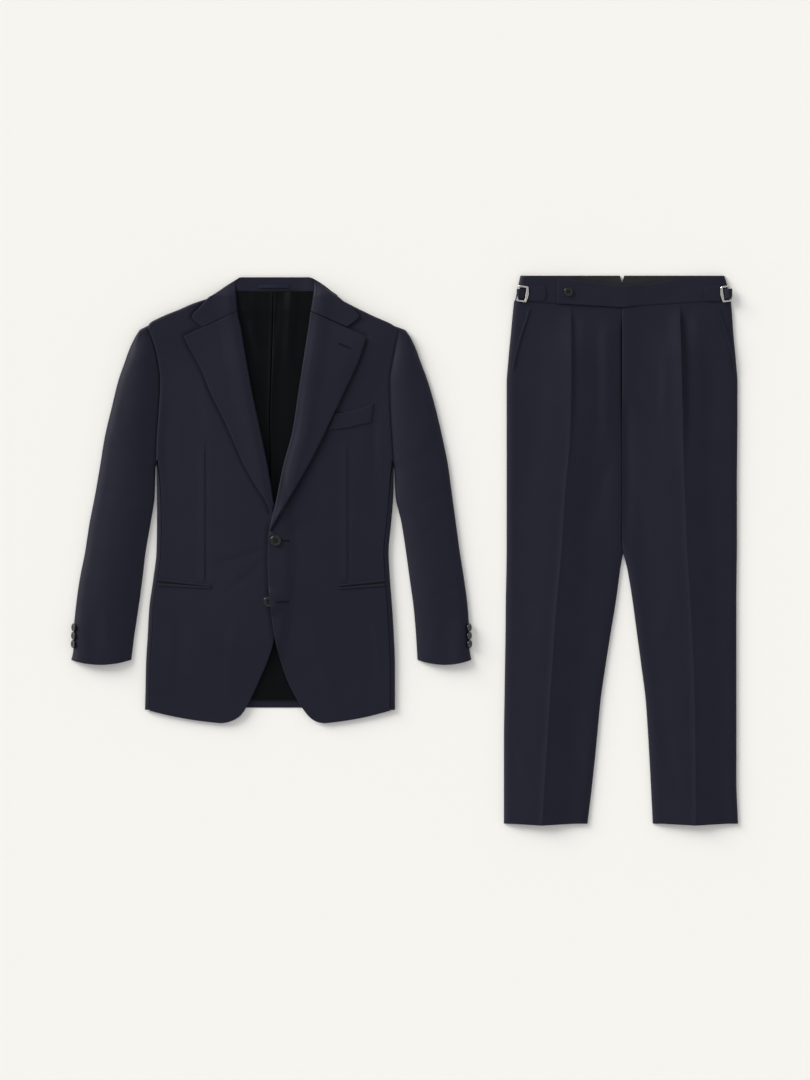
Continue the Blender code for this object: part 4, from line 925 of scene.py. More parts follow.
for side in SIDES:
    keys = row_keys(SLEEVE_TOP, CUFF_END, 3.6, SLEEVE_ROLL)
    inner_drop = keys - HEAD_SLANT * smooth((160 - keys) / 59)
    outer_x, inner_x = sleeve_edges(side, keys)[0], sleeve_edges(side, inner_drop)[1]
    shoulder_x = by_side(side, *read_table(SHOULDER, inner_drop))
    tuck = TUCK * smooth((352 - inner_drop) / 14)
    inner_x = np.where(inner_drop < SHOULDER_END, shoulder_x, inner_x) - sign_of(side) * tuck
    height = sleeve_height(side)
    landing = UNDER_CLOTH + SEAM
    beside_body = smooth((395 - keys) / 120)
    inner_fall = mix(height(inner_x, inner_drop) - landing, ARMHOLE_FALL[side], beside_body)
    grid = lay_rows((outer_x, keys), (inner_x, inner_drop), height,
                    (mix(6.0, 16.0, smooth((keys - 105) / 40)), height(outer_x, keys) - landing),
                    (mix(12.0, 34.0, smooth((keys - 105) / 60)), inner_fall),
                    [(1.0, 26)], turns=(9, 9), bow=cuff_bow(keys), sink=roll_sink(keys, SLEEVE_ROLL))
    lay_piece(side + "_sleeve_cloth", JACKET_X, (grid[0], grid[1], np.maximum(grid[2], landing)), 1.5, WOOL,
              [side + "_top_sleeve"])
    keys = row_keys(SLEEVE_TOP, CUFF_END, 8.0)
    outer_x, inner_x = sleeve_edges(side, keys)
    grid = lay_rows((outer_x, keys), (inner_x, keys), lambda x, drop: 0.0 * x, CUT_EDGE, CUT_EDGE,
                    [(1.0, 12)], turns=(1, 1), bow=cuff_bow(keys))
    lay_piece(side + "_under_sleeve_cloth", JACKET_X, grid, 1.6, WOOL, [side + "_under_sleeve"],
              face_up=False)

# %% [markdown]
# ## Lapels
# A lapel is the top of the front folded back along the roll line, faced with a second layer of wool over
# canvas. It rolls rather than creases, so it swells to a low crown 15 mm in from the roll and settles to
# a firm edge. The right lapel ends under the left one's edge.

# %% Lapels
ROLL_RISE, ROLL_CROWN, ROLL_WIDTH = 2.0, 15.0, 30.0
LAPEL_ROLL = (1.0, 0.0)


def lapel_height(side):
    below = front_height(side)

    def height(x, drop):
        roll = np.abs(x - centre_edge(side, drop))
        crown = smooth(roll / ROLL_CROWN) * smooth(1 - (roll - ROLL_CROWN) / ROLL_WIDTH)
        z = below(x, drop) + 2 * SEAM + LAPEL_CLOTH + ROLL_RISE * crown
        if side == "right":
            return z + 1.2 * smooth((roll - 20) / 40)
        loose = smooth((drop - 150) / 150)
        return z + 0.7 * loose * smooth((drop - 330) / 40) + (1.2 + 2.0 * loose) * smooth((roll - 4) / 26)
    return height


for side in SIDES:
    table = lapel_rows(side)
    keys = row_keys(table[0][0], table[-1][0], 2.6, LAPEL_ROLL)
    edge_x, edge_drop = read_table(table, keys)
    height = lapel_height(side)
    roll_x = centre_edge(side, keys)
    fall = height(roll_x, keys) - (front_height(side)(roll_x, keys) - FRONT_CLOTH + SEAM)
    if side == "right":
        cover = centre_edge("left", keys) - 1.0
        fall = np.where(cover < roll_x, 1.0, fall)
        roll_x = np.minimum(cover, roll_x)
    grid = lay_rows((roll_x, keys), (edge_x, edge_drop), height, (2.4, fall), (2.0, 0.9), [(1.0, 34)],
                    turns=(7, 3), sink=roll_sink(keys, LAPEL_ROLL))
    lay_piece(side + "_lapel_cloth", JACKET_X, grid, 1.7, WOOL, [side + "_lapel"])

# %% [markdown]
# ## Collar
# The collar is cut apart from the lapel and joined to it at the gorge seam, which shows as a fine line
# that ends in the notch. Its leaves lie over the fronts, its stand shows inside the neck, and the
# fall behind the neck lies under the back. A tape loop on the stand hangs the jacket on a hook.

# %% Collar
COLLAR_TOP, COLLAR_ROLL = 5.4, (0.6, 1.0)
STAND_ROLL, TAPE_ROLL = (0.8, 0.6), (0.3, 0.3)
FALL_ROWS = ((6, -58, 75), (16, -74, 92), (29, -93, 109), (40, -108, 122), (48, -96, 114))


def collar_height(side):
    above_front = lapel_height(side)
    return lambda x, drop: mix(COLLAR_TOP, above_front(x, drop), smooth((drop - 10) / 32))


for side in SIDES:
    table = side_rows(COLLAR_ROWS, side)
    keys = row_keys(table[0][0], table[-1][0], 1.6, COLLAR_ROLL)
    edge_x, edge_drop = read_table(table, keys)
    height = collar_height(side)
    roll_x = centre_edge(side, keys)
    lining_top = BODY_CLOTH + SEAM + LINING_CLOTH + COLLAR_LIFT
    roll_fall = np.maximum(height(roll_x, keys) - lining_top - SEAM, 0.6)
    turned = smooth((40 - keys) / 6)
    edge_fold = (mix(2.0, 6.0, turned), mix(0.8, height(edge_x, edge_drop) - COLLAR_LIFT, turned))
    grid = lay_rows((roll_x, keys), (edge_x, edge_drop), height, (3.6, roll_fall), edge_fold, [(1.0, 24)],
                    turns=(6, 5), sink=roll_sink(keys, COLLAR_ROLL))
    lay_piece(side + "_collar_cloth", JACKET_X, grid, 1.6, WOOL, [side + "_collar_leaf"])


def stand_height(x, drop):
    middle = (centre_edge("right", drop) + centre_edge("left", drop)) / 2
    edge = 1.4 * smooth((np.abs(x - middle) - 45) / 24)
    seam = -0.7 * smooth(1 - np.abs(drop - 29.2) / 1.2)
    return COLLAR_LIFT + BODY_CLOTH + edge + seam + 0.25 * np.sin(x / 9.0) * smooth((drop - 8) / 10)


keys = row_keys(5.0, 30.5, 0.8, STAND_ROLL)
stand_right, stand_left = centre_edge("right", keys) + 2 * SEAM, centre_edge("left", keys) - 2 * SEAM
grid = lay_rows((stand_right, keys), (stand_left, keys), stand_height, CUT_EDGE, CUT_EDGE, [(1.0, 60)],
                turns=(1, 1), sink=roll_sink(keys, STAND_ROLL))
lay_piece("collar_stand_cloth", JACKET_X, grid, 1.4, WOOL, ["collar_stand"])

keys = row_keys(6.0, 48.0, 2.0)
fall_right, fall_left = read_table(FALL_ROWS, keys)
grid = lay_rows((fall_right, keys), (fall_left, keys), lambda x, drop: 0.0 * x, CUT_EDGE, CUT_EDGE,
                [(1.0, 40)], turns=(1, 1), bow=5.0 * smooth((keys - 40) / 8))
lay_piece("collar_fall_cloth", JACKET_X, grid, 1.6, WOOL, ["collar_back_fall"],
          face_up=False)

# %% Hanger loop
LOOP_RIGHT, LOOP_LEFT, LOOP_DROP, LOOP_WIDTH = -22.0, 33.0, 21.5, 5.6


def loop_height(x, drop):
    half = (LOOP_LEFT - LOOP_RIGHT) / 2
    arch = 1.2 * smooth(1.15 * (1 - np.abs(x - (LOOP_LEFT + LOOP_RIGHT) / 2) / half))
    rib = 0.12 * smooth((np.abs(drop - LOOP_DROP) - 1.4) / 1.0)
    return stand_height(x, drop * 0 + 20.0) + SEAM + 1.0 + arch + rib


keys = row_keys(LOOP_DROP - LOOP_WIDTH / 2, LOOP_DROP + LOOP_WIDTH / 2, 0.5, TAPE_ROLL)
grid = lay_rows((LOOP_RIGHT + 0 * keys, keys), (LOOP_LEFT + 0 * keys, keys), loop_height,
                (1.0, 0.6), (1.0, 0.6), [(1.0, 50)], turns=(3, 3), sink=roll_sink(keys, TAPE_ROLL))
lay_piece("hanger_loop_tape", JACKET_X, grid, 0.8, TAPE, ["hanger_loop"])

# %% [markdown]
# ## Pockets
# A hip pocket has two jets, narrow folded strips that bind its mouth; its mouth gapes a little at the
# side. The shade inside each pocket mouth, hip and breast, is painted: a thin sheet of much darker wool
# is laid over the front there. The breast pocket has a slanted welt, a doubled strip sewn at its two
# ends. Both lie on the fronts' own height, so they follow the side fold where they reach it.

# %% Pockets
POCKETS = (
    # side, inner_x, upper_drop, lower_drop, outer_x, outer_upper_drop, outer_lower_drop
    ("right", -108, 564.5, 571.5, -205, 552.5, 566.5), ("left", 124, 564.0, 572.5, 209, 553.5, 567.0),
)
BREAST_WELT = (
    # x_top, drop_top, x_bottom, drop_bottom
    (116.5, 253.5, 104, 283), (130, 252, 120, 281.5), (150, 248, 143, 278.5), (168, 242.5, 166, 272.5),
    (187, 235, 181.5, 269.5),
)
JET_WIDTH, JET_OUTER_WIDTH, JET_CLOTH = 3.2, 5.0, 1.0
WELT_CLOTH = 1.5
# The pocket mouths are thin dark sheets of painted shade, laid just over the front.
SHADE_SHEET_CLOTH, SHADE_SHEET_LIFT = 0.3, 0.35


def body_surface(side):
    """Height of the jacket's face, side fold and all."""
    crown = height_with_dart(side)

    def surface(x, drop):
        inside = np.abs(x - side_fold(side, drop))
        turn = np.sqrt(np.maximum(0.0, 1 - np.maximum(0.0, 1 - inside / SIDE_REACH) ** 2))
        half = side_height(drop) / 2
        return mix(half + half * turn, crown(x, drop), smooth((inside - SIDE_REACH) / 6))
    return surface


def lay_strip(inner_x, outer_x, first, second, height, columns, rows=6, round_by=0.35):
    """Points of a narrow strip between two edges, each a function of the fraction along it."""
    t = np.linspace(0, 1, columns)[None, :]
    s = np.linspace(0, 1, rows)[:, None]
    x = mix(inner_x, outer_x, t) + 0 * s
    drop = mix(first(t), second(t), s)
    z = height(x, drop) - round_by * (2 * s - 1) ** 4 - round_by * (2 * t - 1) ** 40
    return x, drop, z


def straight(start, end):
    return lambda t: mix(start, end, t)


for side, inner_x, upper, lower, outer_x, outer_upper, outer_lower in POCKETS:
    surface = body_surface(side)
    # A dark sheet between the jets is painted shade: it stands for the shade inside the pocket.
    mouth_shade_strip = lay_strip(inner_x + 2 * sign_of(side), outer_x, straight(upper + 2, outer_upper + 2),
                      straight(lower - 2, outer_lower - 2), lambda x, d: surface(x, d) + SHADE_SHEET_LIFT, 60)
    lay_piece(side + "_pocket_mouth", JACKET_X, mouth_shade_strip, SHADE_SHEET_CLOTH, POCKET_SHADE_WOOL, ())
    for name, first, last, way in (("upper", upper, outer_upper, 1), ("lower", lower, outer_lower, -1)):
        edges = (straight(first, last), straight(first + way * JET_WIDTH, last + way * JET_OUTER_WIDTH))
        grid = lay_strip(inner_x, outer_x, *edges, lambda x, d: surface(x, d) + 2 * SEAM + JET_CLOTH, 70)
        lay_piece(f"{side}_pocket_{name}_jet_cloth", JACKET_X, grid, 0.9, WOOL,
                  [f"{side}_pocket_{name}_jet"])


def breast_grid(top, bottom, lift, rows, columns):
    """Points over the breast welt between two fractions of its depth."""
    along = np.linspace(0, 1, columns)
    places = [(k / (len(BREAST_WELT) - 1), *row) for k, row in enumerate(BREAST_WELT)]
    x_top, drop_top, x_bottom, drop_bottom = read_table(places, along)
    s = np.linspace(top, bottom, rows)[:, None]
    x, drop = mix(x_top, x_bottom, s), mix(drop_top, drop_bottom, s)
    edge = np.minimum(np.minimum(s - top, bottom - s) * 30, np.minimum(along, 1 - along)[None, :] * 80)
    return x, drop, front_height("left")(x, drop) + lift - 0.4 * (1 - smooth(edge / 1.2))


def breast_mouth_shade_grid():
    """A sheet of painted shade in the breast pocket's opening, which gapes a little beside the lapel."""
    x, drop, z = breast_grid(-0.16, 0.04, SHADE_SHEET_LIFT, 5, 50)
    closed = smooth((x - 120) / 22)
    return x, drop + (drop[-1:] - drop) * closed * 0.6, z - 0.5 * closed


# The breast pocket's mouth is a dark sheet of painted shade.
lay_piece("breast_pocket_mouth", JACKET_X, breast_mouth_shade_grid(), SHADE_SHEET_CLOTH, POCKET_SHADE_WOOL, ())
lay_piece("breast_welt_cloth", JACKET_X, breast_grid(0.0, 1.0, SEAM + WELT_CLOTH, 22, 60), 1.1, WOOL,
          ["breast_welt"])

# %% [markdown]
# ## Trousers
# Each leg is a front laid on a back. The front is pressed into a crease that starts as a pleat under the
# waistband: the pleat's edge overhangs, so it is steep on one side and gentle on the other. Below it the
# two halves of the leg lean away from the crease like a very low roof, which is why one half is darker.
# The seat seam holds the legs together down to the split, where each inner edge falls to the surface.

# %% Leg tables
LEG_EDGES = (
    # drop, right_outer_x, right_crease_x, right_inner_x, left_inner_x, left_crease_x, left_outer_x
    (50, -195, -93, -0.4, 0.4, 104, 197), (80, -199, -93, -0.4, 0.4, 105, 200),
    (114, -203, -93, -0.4, 0.4, 106, 203), (156, -207, -93, -0.4, 0.4, 107, 207),
    (200, -210, -93, -0.4, 0.4, 108, 210),
    (260, -210, -94, -0.4, 0.4, 109.5, 210), (320, -210, -97, -0.6, 0.6, 110.5, 209.5),
    (380, -210, -103, -1.5, 0.4, 112.5, 209), (440, -210, -107, -3.5, -0.6, 115, 209),
    (496, -210, -110.5, 2.0, 1.5, 117, 209), (540, -210.5, -114, -4, 10.5, 120, 208.5),
    (590, -211.5, -119, -10.5, 18.7, 123, 208), (648, -212, -123.5, -20, 26.5, 126, 208),
    (711, -213, -127.5, -30, 35, 129, 208), (774, -214, -132, -39, 43, 131, 208),
    (847, -215, -136.5, -46, 48, 132, 208), (920, -215, -141.5, -53.5, 52, 133, 208),
    (1000, -215, -146, -63, 56, 133, 211),
)
LEG_TOP, LEG_HEM = 60.4, 999.0
LEG_HEIGHT, BAND_CLOTH = 7.2, 2.2
LEG_ROOF, PRESSED_EDGE = 5.6, 1.6
PLEAT_LIP, PLEAT_HOLLOW = {"right": 1.8, "left": 2.8}, {"right": 2.0, "left": 4.6}
BAND_HEIGHT = LEG_HEIGHT + 0.4
LEG_CREASES = {
    # x0, drop0, x1, drop1, before, after, rise
    "right": (
        (-150, 90, -176, 420, 24, 34, -0.9), (-60, 100, -50, 330, 20, 26, 1.0),
        (-36, 330, -30, 480, 16, 18, -0.6), (-8, 300, -70, 520, 20, 26, -0.9),
        (-180, 560, -150, 700, 20, 30, -0.7), (-60, 600, -90, 740, 24, 18, 0.7),
        (-96, 780, -80, 960, 20, 26, -0.8), (-200, 800, -180, 970, 14, 26, 0.6),
    ),
    "left": (
        (52, 110, 60, 380, 24, 18, -0.8), (80, 100, 76, 300, 14, 18, 0.9),
        (160, 110, 176, 400, 26, 30, -0.9), (10, 300, 76, 540, 22, 18, -0.9),
        (96, 560, 70, 720, 26, 18, 0.7), (170, 620, 180, 760, 22, 20, -0.7),
        (76, 800, 100, 980, 20, 16, -0.8), (180, 820, 186, 980, 14, 16, 0.6),
    ),
}


def leg_edges(side, drop):
    edges = read_table(LEG_EDGES, drop)
    return (edges[0], edges[1], edges[2]) if side == "right" else (edges[5], edges[4], edges[3])


def leg_height(side):
    def height(x, drop):
        outer_x, crease, inner_x = leg_edges(side, drop)
        start = smooth((drop - 62) / 90)
        away = x - crease
        roof = LEG_ROOF * np.where(away < 0, smooth(1 + away / 88), smooth(1 - away / 56))
        pressed = PRESSED_EDGE * np.maximum(0.0, 1 - np.abs(away) / 12.0) ** 2
        pleat = smooth((drop - 58) / 40) * smooth((400 - drop) / 220)
        lip = np.where(away < 0, smooth(1 + away / 26), smooth(1 - away / 2.6))
        hollow = smooth(away / 2.6) * smooth(1 - (away - 2.6) / by_side(side, 22.0, 32.0))
        overhang = pleat * (PLEAT_LIP[side] * lip - PLEAT_HOLLOW[side] * hollow)
        if side == "left":
            fly = 1.2 * smooth(1 - np.abs(x) / 42.0) * smooth((310 - drop) / 60)
            below_fly = smooth((drop - 212) / 50) * smooth((505 - drop) / 90)
            fly = fly - 2.4 * below_fly * smooth(x / 5) * smooth(1 - (x - 5) / 24)
        else:
            beside_fly = smooth((drop - 74) / 50) * smooth((330 - drop) / 110)
            fly = 2.4 * smooth(1 - np.abs(x + 29) / 20) * beside_fly
        z = LEG_HEIGHT + start * roof + start * pressed * (1 - 0.5 * pleat) + overhang + fly
        folds = creases(LEG_CREASES[side], x, drop) * smooth((drop - 62) / 60)
        return z + folds + drape(x, drop, 0.25, 2.0)
    return height


BAND_EDGES = (
    # x, top_drop, bottom_drop
    (-195, 3, 47), (-158, 4, 51), (-118, 6, 53.5), (-69, 13, 56), (-36, 16, 58), (0, 20, 60), (30, 19, 57),
    (63, 14, 55), (95, 9, 53), (145, 4, 50), (197, 3, 47),
)
print("crease height", round(height_at(leg_height("right"), -114.0, 540.0), 2), "mm")

# %% Legs
HEM_POINT, HEM_ROLL = 3.0, (0.0, 1.6)
OUTER_FOLD = 13.0


def closed_edges(side, drop):
    """A leg's edges with the seat seam closed down to the split."""
    outer_x, crease, inner_x = leg_edges(side, drop)
    return outer_x, crease, mix(inner_x, by_side(side, 2.0, 0.2), smooth((518 - drop) / 28))


for side in SIDES:
    keys = row_keys(LEG_TOP, LEG_HEM, 4.0, HEM_ROLL)
    outer_x, crease, inner_x = closed_edges(side, keys)
    height = leg_height(side)
    landing = BAND_CLOTH + SEAM
    split = by_side(side, smooth((keys - 400) / 100), smooth((keys - 482) / 36))
    trough = mix(1.0, 6.2, smooth((keys - 66) / 44)) - 1.6 * smooth((keys - 215) / 60)
    inner_fall = mix(by_side(side, trough, 1.0), height(inner_x, keys) - landing, split)
    inner_reach = mix(by_side(side, 21.0, 2.4), by_side(side, 22.0, 16.0), split)
    inner_reach = mix(inner_reach, 16.0, smooth((keys - 560) / 120))
    edge = stop_at(crease, outer_x, inner_x, OUTER_FOLD, inner_reach)
    wide = 7.0 / np.abs(inner_x - outer_x)

    def hem(x, drop, side=side):
        """The waist edge follows the band, and the hem dips to a point at the crease."""
        at_crease = leg_edges(side, drop)[1]
        point = HEM_POINT * np.maximum(0.0, 1 - np.abs(x - at_crease) / 60.0) * smooth((drop - 930) / 69)
        band = read_table(BAND_EDGES, x)[1] + 2 * SEAM
        return drop + point + (band - LEG_TOP) * smooth((120 - drop) / (120 - LEG_TOP))

    x, drop, z = lay_rows((outer_x, keys), (inner_x, keys), height,
                          (OUTER_FOLD, height(outer_x, keys) - landing), (inner_reach, inner_fall),
                          [(edge - wide, 22), (edge, 8), (edge + wide, 8), (1.0, 20)],
                          turns=(8, 8), sink=roll_sink(keys, HEM_ROLL))
    lay_piece(side + "_leg_cloth", TROUSERS_X, (x, hem(x, drop), z), 1.2, WOOL,
              [side + "_leg_front"])
    keys = row_keys(LEG_TOP, LEG_HEM, 8.0)
    outer_x, crease, inner_x = closed_edges(side, keys)

    def hollows(x, drop, side=side):
        away = smooth((drop - 90) / 60) * smooth((970 - drop) / 40)
        return away * 0.7 * smooth(1 - np.abs(x - leg_edges(side, drop)[1]) / 9)

    x, drop, z = lay_rows((outer_x, keys), (inner_x, keys), hollows, CUT_EDGE, CUT_EDGE, [(1.0, 30)],
                          turns=(1, 1))
    lay_piece(side + "_leg_back_cloth", TROUSERS_X, (x, np.where(drop > 500, hem(x, drop), drop), z), 1.1,
              WOOL, [side + "_leg_back"], face_up=False)

# %% [markdown]
# ## Waistband
# The band is cut deep and stiffened, so it lies flatter than the legs. The left half runs on past the
# fly as a tab and buttons on the right. Behind, the back of the band rises higher, with a small notch
# at the centre, and its grey cotton lining shows above the front.

# %% Waistband
BAND_SIDE = ((2, -185, 186), (18, -188.5, 191), (51, -195.5, 197.5))
TAB_END = -118.0
BACK_BAND_TOP, BACK_BAND_END = 2.0, 60.0
BAND_ROLL, BAND_CUT = (0.6, 0.0), (0.4, 0.0)


def band_side(side, drop):
    return by_side(side, *read_table(BAND_SIDE, drop))


def band_grid(x_a, x_b, height, fold_a, fold_b, columns, turns):
    """A band piece, from its upper to its lower edge."""
    share = np.linspace(0, 1, 25)
    drops = mix(3.0, 47.0, share)
    x, _, z = lay_rows((x_a(drops), drops), (x_b(drops), drops), height, fold_a, fold_b,
                       [(1.0, columns)], turns)
    top, bottom = read_table(BAND_EDGES, x)
    drop = mix(top, bottom, share[:, None])
    edge = 0.5 * (1 - smooth(np.minimum(share, 1 - share) / 0.04))
    return x, drop, z - edge[:, None] + 0.15 * np.sin(x / 13 + drop / 9)


def lapped(x, drop):
    """The left half climbs over the right one at the fly."""
    return BAND_HEIGHT + (BAND_CLOTH + SEAM) * smooth((44 - x) / 40)


def unlapped(x, drop):
    return BAND_HEIGHT + 0 * x


def band_lining_height(x, drop):
    return BAND_CLOTH + SEAM + LINING_CLOTH + 0.12 * np.sin(x / 7 + drop / 5)


side_fall = (8.0, BAND_HEIGHT - BAND_CLOTH - SEAM)
right_band = band_grid(lambda drop: band_side("right", drop), lambda drop: -0.5 + 0 * drop, unlapped,
                       side_fall, (1.5, 0.4), 60, (8, 2))
left_band = band_grid(lambda drop: band_side("left", drop), lambda drop: TAB_END + 0 * drop, lapped,
                      side_fall, (0.8, 0.8), 110, (8, 3))
for side, grid in (("right", right_band), ("left", left_band)):
    lay_piece(side + "_front_band_cloth", TROUSERS_X, grid, 1.6, WOOL, [side + "_front_band"])
    sign = sign_of(side)
    keys = row_keys(BACK_BAND_TOP, BACK_BAND_END, 1.5, BAND_ROLL)
    notch = np.interp(keys, (BACK_BAND_TOP, 14.0, BACK_BAND_END), (4.0, 0.0, 0.0))
    centre_x, side_x = sign * (notch + SEAM / 2), band_side(side, keys)
    grid = lay_rows((centre_x, keys), (side_x, keys), lambda x, drop: 0.0 * x, BAND_CUT, BAND_CUT,
                    [(1.0, 30)], turns=(1, 1))
    lay_piece(side + "_back_band_cloth", TROUSERS_X, grid, 2.1, WOOL, [side + "_back_band"],
              face_up=False)
    grid = lay_rows((centre_x, keys + 0.6), (side_x - sign * 8.0, keys + 0.6), band_lining_height,
                    BAND_CUT, BAND_CUT, [(1.0, 40)], turns=(1, 1), sink=roll_sink(keys, BAND_ROLL))
    lay_piece(side + "_band_lining_cloth", TROUSERS_X, grid, 0.8, BAND_COTTON,
              [side + "_band_lining"])

# %% [markdown]
# ## Side pockets and adjusters
# The slanted side pockets are edged by a narrow welt. On each hip a pointed strap runs through a small
# metal buckle: under its inner bar, up through the window and round its outer bar, which it hides.

# %% Slanted pockets
SLANT_POCKET = (
    # drop, right_x, left_x
    (63, -171.5, 177), (85, -178, 184), (116, -188, 194), (149, -196.5, 202), (172, -201, 205),
)
SLANT_WIDTH, SLANT_CLOTH = 4.5, 1.2

for side in SIDES:
    sign = sign_of(side)
    keys = row_keys(SLANT_POCKET[0][0], SLANT_POCKET[-1][0], 2.4)
    edge_x = by_side(side, *read_table(SLANT_POCKET, keys))
    crown = leg_height(side)

    def on_leg(x, drop, side=side, crown=crown):
        """The leg's face, which turns down in a quarter circle at the side."""
        inside = np.abs(x - leg_edges(side, drop)[0])
        full = crown(x, drop) - BAND_CLOTH - SEAM
        turn = np.sqrt(np.maximum(0.0, 1 - np.maximum(0, 1 - inside / 10.0) ** 2))
        return crown(x, drop) - full * (1 - turn)

    grid = lay_rows((edge_x - sign * SLANT_WIDTH, keys), (edge_x, keys),
                    lambda x, drop: on_leg(x, drop) + SEAM + SLANT_CLOTH,
                    (0.6, 0.3), (0.8, 0.5), [(1.0, 8)], turns=(3, 3))
    lay_piece(side + "_side_pocket_cloth", TROUSERS_X, grid, 0.8, WOOL,
              [side + "_side_pocket_welt"])

# %% Straps and buckles
STRAPS = (
    # side, inner_x, width, outer_x
    ("right", -139.0, 28.0, -172.0), ("left", 149.0, 30.0, 180.0),
)
STRAP_DROP = 34.0
BUCKLE_BASE = BAND_HEIGHT + 1.3
BUCKLE_PATH = (
    # out from the strap's end, height of the strap's face, half width share
    (-14, 8.95, 1.0), (-4, 8.9, 1.0), (1, 8.7, 0.7), (5, 8.8, 0.62), (9, 10.4, 0.62), (13, 11.6, 0.62),
    (16, 11.9, 0.62), (18.6, 10.9, 0.62), (19.9, 8.6, 0.62), (20.1, 6.2, 0.62),
)
STRAP_TIP = (
    # out from the tip, height of the strap's face, half width share
    (0.0, 8.95, 0.50), (1.2, 9.1, 0.72), (4.0, 9.1, 1.0),
)
BUCKLE_HALF = (9.0, 14.6)
BUCKLE_BAR, BUCKLE_RAIL, BUCKLE_WIRE, BUCKLE_CORNER = 3.0, 2.8, 1.9, 2.0
BUCKLE_POINT, BUCKLE_TURN = 2.4, radians(8)
BELOW_STRAP = 1.5


def rounded_box(w, h, r):
    """Points round a box with rounded corners, at even angles, with its two upright sides divided."""
    points = []
    for cx, cy, first in ((1, 1, 0), (-1, 1, 1), (-1, -1, 2), (1, -1, 3)):
        for k in range(9):
            angle = (first + k / 8) * pi / 2
            points.append((cx * (w - r) + r * cos(angle), cy * (h - r) + r * sin(angle)))
        if first in (1, 3):
            points += [(cx * w, cy * (h - r) * step / 6) for step in range(5, -6, -1)]
    return np.array(points)


def tube_faces(count, around):
    """Faces between rings of points, closed both ways: count rings of around points each."""
    return [(i * around + j, i * around + (j + 1) % around, (i + 1) % count * around + (j + 1) % around,
             (i + 1) % count * around + j) for i in range(count) for j in range(around)]


def buckle_frame(name, point_side, turns=14):
    """A wire frame with one window, round in section, whose bar on point_side comes to a blunt point."""
    half_wide, half_high = BUCKLE_HALF
    outer = rounded_box(half_wide, half_high, BUCKLE_CORNER)
    inner = rounded_box(half_wide - BUCKLE_BAR, half_high - BUCKLE_RAIL, BUCKLE_CORNER)
    pointed = outer[:, 0] * point_side > half_wide - 0.01
    outer[pointed, 0] += point_side * BUCKLE_POINT * (1 - np.abs(outer[pointed, 1]) / half_high)
    rings = []
    for k in range(turns):
        angle = 2 * pi * k / turns
        z = np.full(len(outer), 0.5 * BUCKLE_WIRE * (1 + sin(angle)))
        rings.append(np.column_stack([mix(outer, inner, 0.5 - 0.5 * cos(angle)), z]))
    mesh = bpy.data.meshes.new(name)
    mesh.from_pydata((np.concatenate(rings) * MM).tolist(), [], tube_faces(turns, len(outer)))
    skin = bmesh.new()
    skin.from_mesh(mesh)
    bmesh.ops.recalc_face_normals(skin, faces=skin.faces)
    skin.to_mesh(mesh)
    skin.free()
    return to_scene(name, mesh, NICKEL)


def set_down(made, centre_x, x, drop, z, nodes=(), turn=None):
    """Places a small hard piece, with its place kept in its mesh."""
    move = Matrix.Translation(Vector(to_world(centre_x, x, drop, z).tolist()))
    made.data.transform(move @ turn if turn else move)
    return finish_piece(made, nodes)


for side, inner_x, width, outer_x in STRAPS:
    sign = sign_of(side)
    buckle = buckle_frame(side + "_buckle_metal", -sign)
    set_down(buckle, TROUSERS_X, outer_x + sign * 9.6, STRAP_DROP + BELOW_STRAP, BUCKLE_BASE,
             [side + "_buckle"], Matrix.Rotation(sign * BUCKLE_TURN, 4, "Z"))
    tip = [(out - abs(outer_x - inner_x), face, share) for out, face, share in STRAP_TIP]
    path = [(k, *row) for k, row in enumerate([*tip, *BUCKLE_PATH])]
    out, face, share = read_table(path, np.linspace(0, len(path) - 1, 90))
    across = np.linspace(-1, 1, 23)[:, None]
    x = outer_x + sign * out + 0 * across
    drop = STRAP_DROP + BELOW_STRAP * smooth((out + 2) / 6) + across * share * width / 2
    z = face - 0.25 * across ** 6 + 0 * x
    lay_piece(side + "_adjuster_cloth", TROUSERS_X, (x, drop, z), 0.7, WOOL,
              [side + "_adjuster_strap"])
print("straps and buckles placed")

# %% [markdown]
# ## Buttons
# A horn button is turned on a lathe: a flat back, a rounded rim, a dish, and four holes drilled through.
# The profile is spun round, the holes are cut with cylinders, and thread crosses between them.

# %% Turned horn
# Shares of a button's diameter: its thickness, how far its holes lie from its middle lines, a hole's
# radius. The dish's floor is a share of the thickness.
BUTTON_THICK, HOLE_OFF, HOLE_RADIUS = 0.16, 0.105, 0.055
DISH_FLOOR = 0.66
JACKET_BUTTON, WAIST_BUTTON, CUFF_BUTTON = 20.0, 16.4, 14.6


def spun(name, profile, segments, finish):
    """A turned solid from (radius, z) pairs that start and end on the axis."""
    shell = bmesh.new()
    rings = []
    for radius, z in profile:
        if radius == 0:
            rings.append([shell.verts.new((0, 0, z * MM))])
        else:
            rings.append([shell.verts.new((radius * cos(2 * pi * k / segments) * MM,
                                           radius * sin(2 * pi * k / segments) * MM, z * MM))
                          for k in range(segments)])
    for low, high in zip(rings, rings[1:]):
        for k in range(segments):
            n = (k + 1) % segments
            corners = [low[k % len(low)], low[n % len(low)], high[n % len(high)], high[k % len(high)]]
            shell.faces.new(list(dict.fromkeys(corners)))
    bmesh.ops.recalc_face_normals(shell, faces=shell.faces)
    mesh = bpy.data.meshes.new(name)
    shell.to_mesh(mesh)
    shell.free()
    return to_scene(name, mesh, finish)


def button_profile(diameter):
    """Back, rim and dish of a button, its rim rounded by a curve of points."""
    r, t = diameter / 2, BUTTON_THICK * diameter
    turns = [float(a) for a in np.linspace(0.1 * pi, 0.98 * pi, 9)]
    rim = [(r * (0.90 + 0.10 * sin(a)), t * (0.52 - 0.48 * cos(a))) for a in turns]
    dish = [(0.78 * r, 0.93 * t), (0.68 * r, 0.78 * t), (0.60 * r, 0.70 * t), (0.5 * r, DISH_FLOOR * t)]
    return [(0, 0), (0.84 * r, 0)] + rim + dish + [(0, 0.64 * t)]


